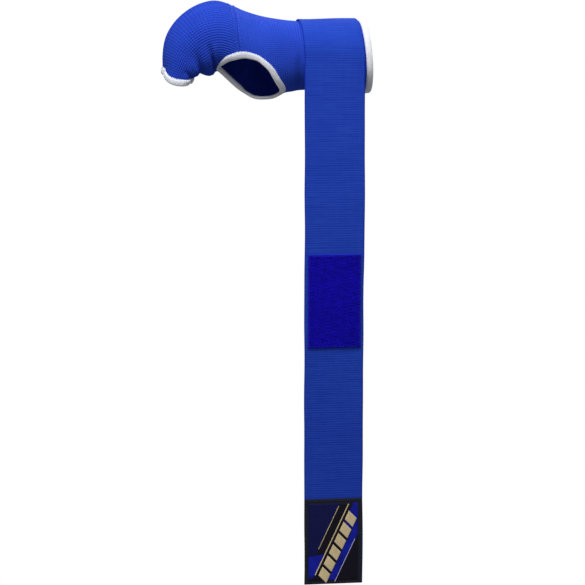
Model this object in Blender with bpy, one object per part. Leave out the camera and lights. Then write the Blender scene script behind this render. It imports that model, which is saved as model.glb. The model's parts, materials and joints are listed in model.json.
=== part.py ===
"""Boxer's slip-on inner hand wrap, worn on a closed right fist, with its wrist strap hanging free.

Frame: the origin is the centre of the wrist opening. +X points out of the wrist opening, +Z up
from the back of the hand, -Y to the thumb side. Lengths below are millimetres; the meshes are metres.
The knitted glove is a bent tube given by sections, and its surface is addressed by u (round the
tube, 0 at the little-finger side, 0.25 on the back of the hand, 0.5 on the thumb side) and s
(distance along the tube from the wrist edge).
"""

import math

import bmesh
import bpy
import numpy as np

# Section of the tube: back X, Z, palm X, Z, thumb-side Y, little-finger-side Y, squareness
SECTIONS = [
    (-1.6, 29.8, 3.6, -29.8, -34.0, 34.0, 2.10),
    (-29.0, 29.8, -26.0, -29.0, -34.0, 33.5, 2.12),
    (-57.5, 29.3, -55.0, -27.6, -34.0, 34.0, 2.20),
    (-76.6, 31.4, -71.0, -31.0, -36.0, 37.0, 2.30),
    (-87.4, 33.4, -80.5, -34.0, -38.5, 39.5, 2.40),
    (-97.3, 36.2, -90.0, -34.5, -40.0, 41.0, 2.45),
    (-105.8, 39.4, -99.0, -31.0, -41.0, 42.5, 2.50),
    (-114.0, 43.2, -107.5, -25.5, -42.0, 43.0, 2.50),
    (-124.0, 45.2, -115.0, -19.0, -42.5, 43.0, 2.50),
    (-135.0, 43.6, -120.5, -14.0, -42.5, 42.5, 2.50),
    (-147.0, 38.6, -124.0, -11.5, -42.5, 42.0, 2.50),
    (-156.8, 31.4, -127.0, -11.0, -42.0, 41.0, 2.55),
    (-163.4, 23.4, -130.5, -12.0, -41.0, 40.0, 2.65),
    (-167.4, 15.0, -134.5, -13.5, -40.0, 39.0, 2.80),
    (-169.3, 6.0, -139.0, -15.0, -39.5, 38.5, 2.95),
    (-169.8, -2.5, -143.0, -16.3, -39.0, 38.0, 3.10),
    (-169.8, -8.5, -146.5, -18.0, -38.5, 38.0, 3.20),
    (-170.8, -14.0, -149.0, -22.5, -38.0, 38.0, 3.20),
    (-171.3, -20.5, -150.5, -28.5, -37.5, 38.0, 3.20),
]
FINGER_GAPS = (-19.5, 1.0, 20.5)
FINGERS = (-29.5, -9.5, 10.5, 29.0)
# Edge of the thumb opening, as u and s
THUMB_EDGE = [
    (0.496, 100.0), (0.504, 109.0), (0.519, 117.0), (0.538, 124.0), (0.558, 131.0), (0.581, 137.0),
    (0.612, 143.5), (0.650, 146.5), (0.688, 143.5), (0.714, 135.0), (0.728, 123.0), (0.735, 110.0),
    (0.733, 96.0), (0.722, 84.0), (0.703, 76.5), (0.679, 73.0), (0.640, 73.0), (0.602, 76.0),
    (0.554, 81.0), (0.523, 86.0), (0.502, 93.0),
]
EDGING_W = 5.2               # width of the white edging at the thumb and finger openings
EDGING_OUT, EDGING_IN = 0.9, -1.9
KNIT_T = 1.2                 # thickness of each knitted layer
GAP = 0.3                    # air left between pieces that touch
SEAM_S = 115.5               # where the outer layer over the knuckles starts
PAD_T = 7.0                  # knuckle padding, at its thickest
PAD_U, PAD_S = (0.055, 0.445), (121.0, 172.0)
COLUMNS = 36
# Rows of the knit: it starts 5.2 from the wrist edge, and the white edging covers 0 to 4.7
ROWS_S = [5.2, 13, 21, 29, 37, 45, 53, 61, 68.5, 75.5, 82.5, 89.5, 96.5, 105, 113.9, 115.5,
          121, 127, 133, 139, 145, 150.5, 156, 161, 166.5, 172, 178, 183.5, 189]

STRAP_W, STRAP_T = 50.0, 1.5
STRAP_X = -30.2              # middle of the strap's width
STRAP_Y = -35.1              # middle of the strap's thickness where it hangs
STRAP_START_U = -0.14        # sewn end of the strap, under the little-finger side of the wrist
SWING_Z, PANEL_TOP_Z, PANEL_LOW_Z, LABEL_Z, STRAP_END_Z = -15.5, -161.3, -241.7, -370.0, -446.4
PANEL_W, PANEL_T = 45.0, 1.6
LABEL_T, HOOK_L, HOOK_T = 0.8, 62.0, 1.6
THREAD_W, THREAD_T = 0.9, 0.4
MARGIN, MARGIN_T = 2.0, 0.6  # woven margin of the hook and loop tapes, where they are stitched

COLOURS = {
    "blue_knit": (0.028, 0.066, 0.42, 1.0),
    "blue_elastic": (0.017, 0.047, 0.33, 1.0),
    "navy_loop": (0.006, 0.004, 0.20, 1.0),
    "white_edging": (0.74, 0.78, 0.86, 1.0),
    "black_label": (0.006, 0.007, 0.022, 1.0),
    "blue_label": (0.010, 0.016, 0.24, 1.0),
    "gold_thread": (0.58, 0.42, 0.20, 1.0),
    "blue_thread": (0.012, 0.030, 0.22, 1.0),
    "grey_foam": (0.12, 0.12, 0.13, 1.0),
    "black_hook": (0.012, 0.012, 0.016, 1.0),
}


def spline(x, y):
    """Natural cubic spline through the points, as a function."""
    x, y = np.asarray(x, float), np.asarray(y, float)
    n, h = len(x), np.diff(x)
    a, b = np.eye(n), np.zeros(n)
    for i in range(1, n - 1):
        a[i, i - 1 : i + 2] = h[i - 1], 2 * (h[i - 1] + h[i]), h[i]
        b[i] = 6 * ((y[i + 1] - y[i]) / h[i] - (y[i] - y[i - 1]) / h[i - 1])
    m = np.linalg.solve(a, b)

    def at(t):
        t = np.asarray(t, float)
        i = np.clip(np.searchsorted(x, t) - 1, 0, n - 2)
        d, w = t - x[i], x[i + 1] - t
        return (
            m[i] * w**3 / (6 * h[i]) + m[i + 1] * d**3 / (6 * h[i])
            + (y[i] / h[i] - m[i] * h[i] / 6) * w + (y[i + 1] / h[i] - m[i + 1] * h[i] / 6) * d
        )

    return at


def smooth(a, b, x):
    t = np.clip((np.asarray(x, float) - a) / (b - a), 0, 1)
    return t * t * (3 - 2 * t)


ROWS = np.array(SECTIONS)
STATION_S = np.concatenate([[0], np.cumsum(
    0.5 * (np.hypot(*np.diff(ROWS[:, 0:2], axis=0).T) + np.hypot(*np.diff(ROWS[:, 2:4], axis=0).T)))])
LENGTH = float(STATION_S[-1])
U_STEPS = 480


def station(k):
    """Distance along the tube of section k, which may be a fraction."""
    return float(np.interp(k, np.arange(len(STATION_S)), STATION_S))


def surface_table():
    """Outer surface of the glove and its outward normals, on a grid of s rows by u columns."""
    s = np.linspace(0, LENGTH, int(round(LENGTH)) + 1)
    col = [spline(STATION_S, ROWS[:, k])(s) for k in range(7)]
    t = np.linspace(0, 2 * np.pi, 2881)
    ct, st = np.cos(t), np.sin(t)
    points = np.zeros((len(s), U_STEPS + 1, 3))
    girth = np.zeros(len(s))
    for i in range(len(s)):
        back, palm = np.array([col[0][i], 0, col[1][i]]), np.array([col[2][i], 0, col[3][i]])
        y0, y1, n = col[4][i], col[5][i], col[6][i]
        a, b = np.linalg.norm(back - palm) / 2, (y1 - y0) / 2
        up, mid = (back - palm) / (2 * a), (back + palm) / 2
        y = b * np.sign(ct) * np.abs(ct) ** (2 / n)
        h = a * np.sign(st) * np.abs(st) ** (2 / n)
        along = np.concatenate([[0], np.cumsum(np.hypot(np.diff(y), np.diff(h)))])
        girth[i] = along[-1]
        f = np.linspace(0, along[-1], U_STEPS + 1)
        y, h = np.interp(f, along, y) + (y0 + y1) / 2, np.interp(f, along, h)
        hs = h / a
        w = smooth(station(3), station(7), s[i])
        far, near = np.maximum(y + 8, 0), np.maximum(-8 - y, 0)
        slant = w * (11 * (far / 46) ** 2 + 3 * (near / 34) ** 2)
        drop = w * (5.5 * (far / 40) ** 2 + 1.5 * (near / 34) ** 2) * (0.5 + 0.5 * hs)
        drop *= 1 - 0.85 * smooth(station(10), station(14.5), s[i])
        gaps = sum(np.exp(-(((y - g) / 4.6) ** 2)) for g in FINGER_GAPS)
        knob = sum(np.exp(-(((y - g) / 6.5) ** 2)) for g in FINGERS)
        dorsal, palmar = smooth(0.1, 0.7, hs), smooth(0.1, 0.7, -hs)
        rise = 1.3 * knob * smooth(station(7), station(8.6), s[i]) * (1 - smooth(station(9), station(12), s[i]))
        deep_d = 0.5 * smooth(station(7), station(9), s[i]) + 3.2 * smooth(station(10.5), station(16), s[i])
        deep_p = 0.6 * smooth(station(8), station(10), s[i]) + 3.4 * smooth(station(11.5), station(16), s[i])
        h = h + dorsal * (rise - deep_d * gaps) + palmar * deep_p * gaps - drop
        points[i] = mid + np.outer(h, up)
        points[i, :, 0] += slant
        points[i, :, 1] = y
    points[:, -1] = points[:, 0]
    du = np.empty_like(points)
    du[:, 1:-1] = points[:, 2:] - points[:, :-2]
    du[:, 0] = du[:, -1] = points[:, 1] - points[:, -2]
    normal = np.cross(np.gradient(points, axis=0), du)
    normal /= np.maximum(np.linalg.norm(normal, axis=2, keepdims=True), 1e-9)
    return s, points, normal, girth


TABLE_S, TABLE_P, TABLE_N, GIRTH = surface_table()


def look_up(table, u, s):
    x = (np.asarray(u, float) % 1.0) * U_STEPS
    y = np.clip(np.asarray(s, float) / LENGTH * (len(TABLE_S) - 1), 0, len(TABLE_S) - 1.001)
    i, j = y.astype(int), np.minimum(x.astype(int), U_STEPS - 1)
    fy, fx = (y - i)[..., None], (x - j)[..., None]
    return ((table[i, j] * (1 - fx) + table[i, j + 1] * fx) * (1 - fy)
            + (table[i + 1, j] * (1 - fx) + table[i + 1, j + 1] * fx) * fy)


def skin(u, s, off=0.0):
    """Point of the glove's outer surface, moved out by off."""
    p, n = look_up(TABLE_P, u, s), look_up(TABLE_N, u, s)
    n = n / np.maximum(np.linalg.norm(n, axis=-1, keepdims=True), 1e-9)
    return p + n * np.asarray(off, float)[..., None]


def girth(s):
    return np.interp(s, TABLE_S, GIRTH)


# ---- edges of the knit, in the (u, s) plane
def closed_spline(points, count):
    pts = np.array(points + points[:1], float)
    ring = np.vstack([pts[-4:-1], pts, pts[1:4]])
    t = np.arange(len(ring)) - 3.0
    q = np.linspace(0, len(pts) - 1, count, endpoint=False)
    return np.stack([spline(t, ring[:, 0])(q), spline(t, ring[:, 1])(q)], axis=1)


THUMB = closed_spline(THUMB_EDGE, 400)


def finger_edge(u):
    """s of the knit's edge at the finger opening: it dips lower round the outer two fingers."""
    u = np.asarray(u, float) % 1.0
    far = np.minimum(u, 1 - u)
    return 181.5 + 5.5 * np.exp(-(((u - 0.47) / 0.085) ** 2)) + 4.0 * np.exp(-((far / 0.085) ** 2))


def thumb_distance(u, s):
    """Distance in mm from the thumb opening's edge, negative inside the opening."""
    u, s = np.asarray(u, float) % 1.0, np.asarray(s, float)
    shape = u.shape
    k = girth(s.ravel())[:, None]
    x, y = u.ravel()[:, None] * k, s.ravel()[:, None]
    a, b = THUMB, np.roll(THUMB, -1, axis=0)
    ax, ay, bx, by = a[:, 0] * k, a[:, 1], b[:, 0] * k, b[:, 1]
    ex, ey = bx - ax, by - ay
    t = np.clip(((x - ax) * ex + (y - ay) * ey) / (ex**2 + ey**2), 0, 1)
    d = np.sqrt((ax + t * ex - x) ** 2 + (ay + t * ey - y) ** 2).min(axis=1)
    crosses = ((ay <= y) != (by <= y)) & (x < ax + (y - ay) / np.where(by == ay, 1, by - ay) * ex)
    inside = crosses.sum(axis=1) % 2 == 1
    return np.where(inside, -d, d).reshape(shape)


def knit_region(u, s):
    """Positive where there is knit: outside the thumb opening and short of the finger opening."""
    return np.minimum(thumb_distance(u, s), finger_edge(u) - s)


def pad_margin(u, s):
    """Distance inside the padding's outline, negative outside."""
    u = (np.asarray(u, float) + 0.5) % 1.0 - 0.5
    k = girth(s)
    return np.minimum(np.minimum((u - PAD_U[0]) * k, (PAD_U[1] - u) * k), np.minimum(s - PAD_S[0], PAD_S[1] - s))


def pad_depth(u, s):
    m = pad_margin(u, s)
    return np.where(m > -0.5, 0.8 + (PAD_T - 0.8) * smooth(0, 16, m), 0.0)


def sleeve_top(u, s, step):
    """How far the inner layer lies under the glove's outer surface; step is 1 past the seam and 0 before it."""
    depth = pad_depth(u, s)
    return -(KNIT_T + GAP + depth + np.where(depth > 0, GAP, 0)) * step


# ---- mesh building
def material(slot):
    m = bpy.data.materials.get(slot)
    if m is None:
        m = bpy.data.materials.new(slot)
        m.use_nodes = True
        m.diffuse_color = COLOURS[slot]
        shader = m.node_tree.nodes["Principled BSDF"]
        shader.inputs["Base Color"].default_value = COLOURS[slot]
        shader.inputs["Roughness"].default_value = 0.9
    return m


def add_solid(name, points_mm, faces, slot, parent=None):
    """One closed mesh object; its own origin is its parent's when it has one."""
    mesh = bpy.data.meshes.new(name)
    shift = np.array(parent.location) if parent is not None else np.zeros(3)
    mesh.from_pydata([tuple(np.asarray(p) * 0.001 - shift) for p in points_mm], [], [tuple(f) for f in faces])
    work = bmesh.new()
    work.from_mesh(mesh)
    bmesh.ops.recalc_face_normals(work, faces=work.faces)
    work.to_mesh(mesh)
    work.free()
    mesh.validate()
    mesh.materials.append(material(slot))
    obj = bpy.data.objects.new(name, mesh)
    bpy.context.collection.objects.link(obj)
    if parent is not None:
        obj.parent = parent
    return obj


def knit_shell(name, slot, rows, top):
    """A layer of knit over the (u, s) rows given, cut to the openings' edges, its outer face at top."""
    region = knit_region
    us = np.arange(COLUMNS) / COLUMNS
    u, s = np.meshgrid(us, np.array(rows, float))
    u, s = u.copy(), s.copy()
    g = region(u, s)
    for _ in range(3):                                   # pull nearby grid points on to the edge
        e = 0.05
        k = girth(s)
        gu = (region(u + e / k, s) - region(u - e / k, s)) / (2 * e)
        gs = (region(u, s + e) - region(u, s - e)) / (2 * e)
        size = np.maximum(gu**2 + gs**2, 0.2)
        move = np.abs(g) < 1.9
        u = np.where(move, u - g * gu / size / k, u)
        s = np.where(move, s - g * gs / size, s)
        g = np.where(move, region(u, s), g)
    g = np.where(np.abs(g) < 0.06, 0.0, g)
    flat, cells, cuts = [], [], {}
    key = {}
    for i in range(len(rows)):
        for j in range(COLUMNS):
            key[i, j] = len(flat)
            flat.append((u[i, j], s[i, j], g[i, j], float(rows[i] > SEAM_S - 0.1)))

    def cut(a, b):
        pair = (min(a, b), max(a, b))
        if pair not in cuts:
            (ua, sa, ga, ta), (ub, sb, gb, tb) = flat[pair[0]], flat[pair[1]]
            ub = ua + ((ub - ua + 0.5) % 1.0 - 0.5)
            lo, hi = (0.0, 1.0)
            f = ga / (ga - gb)
            for _ in range(12):
                value = float(region(np.array([ua + (ub - ua) * f]), np.array([sa + (sb - sa) * f]))[0])
                if value * ga > 0:
                    lo = f
                else:
                    hi = f
                f = (lo + hi) / 2
            cuts[pair] = len(flat)
            flat.append((ua + (ub - ua) * f, sa + (sb - sa) * f, 0.0, ta + (tb - ta) * f))
        return cuts[pair]

    for i in range(len(rows) - 1):
        for j in range(COLUMNS):
            a, b = key[i, j], key[i, (j + 1) % COLUMNS]
            c, d = key[i + 1, (j + 1) % COLUMNS], key[i + 1, j]
            for tri in ((a, b, c), (a, c, d)):
                values = [flat[v][2] for v in tri]
                if max(values) <= 0:
                    continue
                poly = []
                for n in range(3):
                    v, w = tri[n], tri[(n + 1) % 3]
                    if flat[v][2] >= 0:
                        poly.append(v)
                    if flat[v][2] * flat[w][2] < 0:
                        poly.append(cut(v, w))
                for n in range(1, len(poly) - 1):
                    cells.append((poly[0], poly[n], poly[n + 1]))
    used = sorted({v for c in cells for v in c})
    index = {v: n for n, v in enumerate(used)}
    uu, ss = np.array([flat[v][0] for v in used]), np.array([flat[v][1] for v in used])
    up = top(uu, ss, np.array([flat[v][3] for v in used]))
    points = np.vstack([skin(uu, ss, up), skin(uu, ss, up - KNIT_T)])
    count, faces, sides = len(used), [], {}
    for c in cells:
        a, b, d = (index[v] for v in c)
        faces += [(a, b, d), (a + count, d + count, b + count)]
        for e in ((a, b), (b, d), (d, a)):
            sides[e] = sides.get(e, 0) + 1
    for a, b in [e for e in sides if (e[1], e[0]) not in sides]:
        faces += [(b, a, a + count), (b, a + count, b + count)]
    return add_solid(name, points, faces, slot)


def ring_band(name, slot, corners, closed=True, parent=None):
    """Sweep: corners is (count, sides, 3) points; consecutive rows are joined."""
    count, sides = corners.shape[:2]
    faces = []
    for i in range(count if closed else count - 1):
        for k in range(sides):
            a, b = i * sides + k, i * sides + (k + 1) % sides
            c, d = ((i + 1) % count) * sides + (k + 1) % sides, ((i + 1) % count) * sides + k
            faces += [(a, b, c), (a, c, d)]
    if not closed:
        faces += [tuple(range(sides)), tuple((count - 1) * sides + k for k in range(sides))]
    return add_solid(name, corners.reshape(-1, 3), faces, slot, parent)


def edge_band(u, s, out_u, out_s, inner, outer, low, high):
    """Corners of a band beside the path (u, s); out is the way off the knit in mm units of the (u, s) plane."""
    k = girth(s)
    rows = []
    for d, off in ((inner, low), (outer, low), (outer, high), (inner, high)):
        rows.append(skin(u + out_u * d / k, s + out_s * d, np.broadcast_to(off, u.shape)))
    return np.stack(rows, axis=1)


def slab(name, slot, x0, x1, y0, y1, z0, z1, parent=None):
    p = [(x, y, z) for z in (z0, z1) for y in (y0, y1) for x in (x0, x1)]
    f = [(0, 2, 3, 1), (4, 5, 7, 6), (0, 1, 5, 4), (2, 6, 7, 3), (0, 4, 6, 2), (1, 3, 7, 5)]
    return add_solid(name, p, f, slot, parent)


def pile_panel(name, slot, x0, x1, z0, z1, root, edge, face, parent):
    """Hook or loop tape: a thin woven margin out to edge, and the pile standing on its middle out to face."""
    m = MARGIN
    ring = lambda y, a: [(x0 + a, y, z0 + a), (x1 - a, y, z0 + a), (x1 - a, y, z1 - a), (x0 + a, y, z1 - a)]
    p = ring(root, 0) + ring(edge, 0) + ring(edge, m) + ring(face, m)
    f = [(0, 1, 2, 3), (12, 13, 14, 15)]
    for base in (0, 4, 8):
        for k in range(4):
            f.append((base + k, base + (k + 1) % 4, base + 4 + (k + 1) % 4, base + 4 + k))
    return add_solid(name, p, f, slot, parent)


def frame_ring(name, slot, x0, x1, z0, z1, y0, y1, parent, width=THREAD_W):
    """A line of stitching round a rectangle, as one flat closed ring."""
    w = width
    outer = [(x0, z0), (x1, z0), (x1, z1), (x0, z1)]
    inner = [(x0 + w, z0 + w), (x1 - w, z0 + w), (x1 - w, z1 - w), (x0 + w, z1 - w)]
    corners = np.array([[(ox, y0, oz), (ix, y0, iz), (ix, y1, iz), (ox, y1, oz)]
                        for (ox, oz), (ix, iz) in zip(outer, inner)])
    return ring_band(name, slot, corners, True, parent)


def pivot(name, z):
    empty = bpy.data.objects.new(name, None)
    empty.location = (STRAP_X * 0.001, STRAP_Y * 0.001, z * 0.001)
    empty.empty_display_size = 0.01
    bpy.context.collection.objects.link(empty)
    return empty


def build_glove():
    knit_shell("hand_sleeve", "blue_knit", ROWS_S, sleeve_top)
    past_seam = [r for r in ROWS_S if r >= SEAM_S]
    knit_shell("knuckle_cover", "blue_knit", past_seam, lambda u, s, step: np.zeros_like(u))

    # padding: whole grid cells, so that it lies exactly between the two layers
    rows = [r for r in ROWS_S if PAD_S[0] - 0.1 <= r <= PAD_S[1] + 0.1]
    cols = [j for j in range(COLUMNS) if pad_margin(j / COLUMNS, np.array(140.0)) > -0.6]
    u, s = np.meshgrid(np.array(cols) / COLUMNS, np.array(rows, float))
    depth = pad_depth(u, s)
    top = skin(u, s, np.full_like(u, -KNIT_T - GAP))
    low = skin(u, s, -KNIT_T - GAP - depth)
    n, m = u.shape
    points = np.vstack([top.reshape(-1, 3), low.reshape(-1, 3)])
    faces, half = [], n * m
    for i in range(n - 1):
        for j in range(m - 1):
            a, b, c, d = i * m + j, i * m + j + 1, (i + 1) * m + j + 1, (i + 1) * m + j
            for t in ((a, b, c), (a, c, d)):
                faces += [t, (t[0] + half, t[2] + half, t[1] + half)]
    rim = ([j for j in range(m)] + [i * m + m - 1 for i in range(1, n)]
           + [(n - 1) * m + j for j in range(m - 2, -1, -1)] + [i * m for i in range(n - 2, 0, -1)])
    for a, b in zip(rim, rim[1:] + rim[:1]):
        faces += [(b, a, a + half), (b, a + half, b + half)]
    add_solid("knuckle_pad", points, faces, "grey_foam")

    # seam that closes the padding's pocket, round the hand from edge to edge of the thumb opening
    arc = np.linspace(0.497, -0.258, 56)
    uu, ss = arc, np.full_like(arc, 114.7)
    corners = np.stack([skin(uu, ss + ds, np.full_like(uu, off))
                        for ds, off in ((-0.5, 0.35), (0.5, 0.35), (0.5, 0.85), (-0.5, 0.85))], axis=1)
    keep = thumb_distance(uu, ss) > 1.0
    ring_band("pocket_seam", "blue_thread", corners[keep], closed=False)

    # edgings
    path = closed_spline(THUMB_EDGE, 52)
    k = girth(path[:, 1])
    step = (np.roll(path, -1, axis=0) - np.roll(path, 1, axis=0)) * np.stack([k, np.ones_like(k)], axis=1)
    step /= np.linalg.norm(step, axis=1, keepdims=True)
    out = np.stack([step[:, 1], -step[:, 0]], axis=1)
    centre = path.mean(axis=0)
    if ((centre - path)[:, 1] * out[:, 1]).sum() < 0:
        out = -out
    low = EDGING_IN - (KNIT_T + GAP) * smooth(SEAM_S - 8, SEAM_S - 1, path[:, 1])
    ring_band("thumb_edging", "white_edging",
              edge_band(path[:, 0], path[:, 1], out[:, 0], out[:, 1], 0.6, EDGING_W, low, EDGING_OUT))
    uu = np.linspace(0, 1, 44, endpoint=False)
    corners = np.stack([skin(uu, np.full_like(uu, ds), np.full_like(uu, off))
                        for ds, off in ((0.0, -1.9), (4.7, -1.9), (4.7, 0.7), (0.0, 0.7))], axis=1)
    ring_band("wrist_edging", "white_edging", corners)
    uu = np.linspace(0, 1, 64, endpoint=False)
    ss = finger_edge(uu)
    corners = np.stack([skin(uu, ss + ds, np.full_like(uu, off))
                        for ds, off in ((0.6, -3.0), (5.6, -3.0), (5.6, 0.9), (0.6, 0.9))], axis=1)
    ring_band("finger_edging", "white_edging", corners)

    # webs between the fingers, back layer to palm layer inside the finger opening
    for n, y in enumerate(FINGER_GAPS, start=1):
        corners = []
        for s in (174.0, 180.5):
            ring_u = np.linspace(0, 1, 961)
            p = skin(ring_u, np.full_like(ring_u, s), 0.0)
            back = ring_u[:480][np.argmin(np.abs(p[:480, 1] - y) + (np.abs(ring_u[:480] - 0.25) > 0.2) * 99)]
            palm = ring_u[481:][np.argmin(np.abs(p[481:, 1] - y) + (np.abs(ring_u[481:] - 0.75) > 0.2) * 99)]
            hi, lo = skin(np.array(back), np.array(s), -4.1), skin(np.array(palm), np.array(s), -4.1)
            across = np.array([0.0, 0.8, 0.0])
            corners.append([hi - across, hi + across, lo + across, lo - across])
        ring_band(f"finger_web_{n}", "blue_knit", np.array(corners), closed=False)


def build_strap():
    # sewn to the sleeve under the little-finger side, then over the back of the wrist to the thumb side
    half, lift = STRAP_T / 2, 0.35
    turn = np.linspace(STRAP_START_U, 0.5, 46)
    across = np.array([0, 0.2, 0.4, 0.6, 0.8, 1.0])
    s_across = 1.1 - (STRAP_X + STRAP_W / 2) + across * STRAP_W
    path_low, path_high = [], []
    for u in turn:
        uu = np.full_like(s_across, u)
        path_low.append(skin(uu, s_across, np.full_like(uu, lift)))
        path_high.append(skin(uu, s_across, np.full_like(uu, lift + STRAP_T)))
    for z in (-4.0, -9.0, SWING_Z + 0.9):
        x = STRAP_X + STRAP_W / 2 - across * STRAP_W
        for rows, y in ((path_low, STRAP_Y + half), (path_high, STRAP_Y - half)):
            rows.append(np.stack([x, np.full_like(x, y), np.full_like(x, z)], axis=1))
    low, high = np.array(path_low), np.array(path_high)
    rings = np.concatenate([low, high[:, ::-1]], axis=1)
    count, sides = rings.shape[:2]
    n = len(across)
    faces = []
    for i in range(count - 1):
        for k in range(sides):
            a, b = i * sides + k, i * sides + (k + 1) % sides
            faces += [(a, b, b + sides), (a, b + sides, a + sides)]
    for base in (0, (count - 1) * sides):
        for k in range(n - 1):
            faces += [(base + k, base + k + 1, base + sides - 2 - k, base + sides - 1 - k)]
    add_solid("strap_wrist_turn", rings.reshape(-1, 3), faces, "blue_elastic")

    # box of stitching that holds the sewn end
    u0, u1, s0, s1 = STRAP_START_U + 0.012, STRAP_START_U + 0.055, s_across[0] + 3, s_across[-1] - 3
    loop = [(u0, s0 + (s1 - s0) * t) for t in np.linspace(0, 1, 8, endpoint=False)]
    loop += [(u0 + (u1 - u0) * t, s1) for t in np.linspace(0, 1, 6, endpoint=False)]
    loop += [(u1, s1 + (s0 - s1) * t) for t in np.linspace(0, 1, 8, endpoint=False)]
    loop += [(u1 + (u0 - u1) * t, s0) for t in np.linspace(0, 1, 6, endpoint=False)]
    loop = np.array(loop)
    centre, k = np.array([(u0 + u1) / 2, (s0 + s1) / 2]), girth(s0)
    scale = np.array([1 - 2 * THREAD_W / ((u1 - u0) * k), 1 - 2 * THREAD_W / (s1 - s0)])
    inner = centre + (loop - centre) * scale
    base = lift + STRAP_T + GAP
    corners = np.stack([skin(loop[:, 0], loop[:, 1], np.full(len(loop), base)),
                        skin(inner[:, 0], inner[:, 1], np.full(len(loop), base)),
                        skin(inner[:, 0], inner[:, 1], np.full(len(loop), base + THREAD_T)),
                        skin(loop[:, 0], loop[:, 1], np.full(len(loop), base + THREAD_T))], axis=1)
    ring_band("strap_anchor_stitching", "blue_thread", corners)

    x0, x1 = STRAP_X - STRAP_W / 2, STRAP_X + STRAP_W / 2
    front, back = STRAP_Y - half, STRAP_Y + half
    upper, middle = pivot("strap_upper_axis", SWING_Z), pivot("strap_middle_axis", PANEL_TOP_Z)
    lower, end = pivot("strap_lower_axis", PANEL_LOW_Z), pivot("strap_end_axis", LABEL_Z)
    slab("strap_upper", "blue_elastic", x0, x1, front, back, PANEL_TOP_Z + 0.6, SWING_Z - 0.9, upper)
    slab("strap_middle", "blue_elastic", x0, x1, front, back, PANEL_LOW_Z + 0.6, PANEL_TOP_Z - 0.6, middle)
    slab("strap_lower", "blue_elastic", x0, x1, front, back, LABEL_Z + 0.9, PANEL_LOW_Z - 0.6, lower)
    slab("strap_end", "blue_elastic", x0, x1, front, back, STRAP_END_Z, LABEL_Z - 0.9, end)

    px0, px1 = STRAP_X - PANEL_W / 2, STRAP_X + PANEL_W / 2
    py = front - GAP
    z0, z1 = PANEL_LOW_Z + 0.9, PANEL_TOP_Z - 0.9
    pile_panel("loop_panel", "navy_loop", px0, px1, z0, z1, py, py - MARGIN_T, py - PANEL_T, middle)
    frame_ring("loop_panel_stitching", "blue_thread", px0 + 0.6, px1 - 0.6, z0 + 0.6, z1 - 0.6,
               py - MARGIN_T - GAP - THREAD_T, py - MARGIN_T - GAP, middle)

    top, foot = LABEL_Z - 1.3, STRAP_END_Z
    slab("end_label", "black_label", x0, x1 - 0.3, py - LABEL_T, py, foot, top, end)
    face = py - LABEL_T - GAP
    slab("label_inset", "blue_label", x0 + 3.6, x1 - 4.0, face - THREAD_T, face, foot + 3.4, top - 4.0, end)
    frame_ring("label_stitching", "black_label", x0 + 1.4, x1 - 1.7, foot + 1.2, top - 1.4, face - THREAD_T, face, end)
    # embroidered diagonal bar across the label
    (ax, az), (bx, bz), w = (-45.5, STRAP_END_Z + 10.5), (-15.0, LABEL_Z - 10.0), 9.0
    near, off = face - THREAD_T - GAP, 0.35
    bar = [(x, y, z) for y in (near, near - off) for x, z in ((ax, az), (ax + w, az), (bx + w - 1.5, bz), (bx - 1.5, bz))]
    add_solid("label_emblem", bar, [(0, 1, 2, 3), (4, 5, 6, 7), (0, 1, 5, 4), (1, 2, 6, 5), (2, 3, 7, 6), (3, 0, 4, 7)],
              "gold_thread", end)
    hy, hz = back + GAP, (STRAP_END_Z + LABEL_Z) / 2
    z0, z1 = hz - HOOK_L / 2, hz + HOOK_L / 2
    pile_panel("hook_pad", "black_hook", px0, px1, z0, z1, hy, hy + MARGIN_T, hy + HOOK_T, end)
    frame_ring("hook_pad_stitching", "blue_thread", px0 + 0.6, px1 - 0.6, z0 + 0.6, z1 - 0.6,
               hy + MARGIN_T + GAP, hy + MARGIN_T + GAP + THREAD_T, end)


for old in list(bpy.data.objects):
    bpy.data.objects.remove(old, do_unlink=True)
build_glove()
build_strap()
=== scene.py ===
"""Looks for the slip-on hand wrap: knitted glove on a closed fist, with a long elastic wrist strap.

Lengths in the geometry code are millimetres in the row's frame, and meshes are made in metres.
The glove's surface is addressed by u (round the tube: 0 little-finger side, 0.25 back of the hand,
0.5 thumb side, 0.75 palm) and s (distance along the tube from the wrist edge), as in the CAD.
"""

import json
import math

import bpy
import numpy as np
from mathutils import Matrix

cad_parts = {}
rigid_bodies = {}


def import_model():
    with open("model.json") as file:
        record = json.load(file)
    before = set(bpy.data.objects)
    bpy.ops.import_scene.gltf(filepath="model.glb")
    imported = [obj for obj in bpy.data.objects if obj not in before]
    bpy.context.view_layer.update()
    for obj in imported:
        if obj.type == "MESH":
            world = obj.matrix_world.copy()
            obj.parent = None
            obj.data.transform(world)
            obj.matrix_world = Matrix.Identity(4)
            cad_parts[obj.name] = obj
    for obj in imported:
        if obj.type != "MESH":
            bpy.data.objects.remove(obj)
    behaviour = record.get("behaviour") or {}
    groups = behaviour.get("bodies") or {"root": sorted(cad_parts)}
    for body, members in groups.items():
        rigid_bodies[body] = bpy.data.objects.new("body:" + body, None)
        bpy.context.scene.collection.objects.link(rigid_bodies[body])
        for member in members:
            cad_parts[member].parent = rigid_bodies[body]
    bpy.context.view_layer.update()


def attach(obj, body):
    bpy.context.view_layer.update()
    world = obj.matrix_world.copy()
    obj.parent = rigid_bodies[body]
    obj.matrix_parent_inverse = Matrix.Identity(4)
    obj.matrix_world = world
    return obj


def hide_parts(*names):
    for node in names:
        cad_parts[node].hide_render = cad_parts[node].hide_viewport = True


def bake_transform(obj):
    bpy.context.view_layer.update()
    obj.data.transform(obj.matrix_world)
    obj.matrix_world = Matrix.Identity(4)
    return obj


for old in list(bpy.data.objects):
    bpy.data.objects.remove(old, do_unlink=True)
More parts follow.
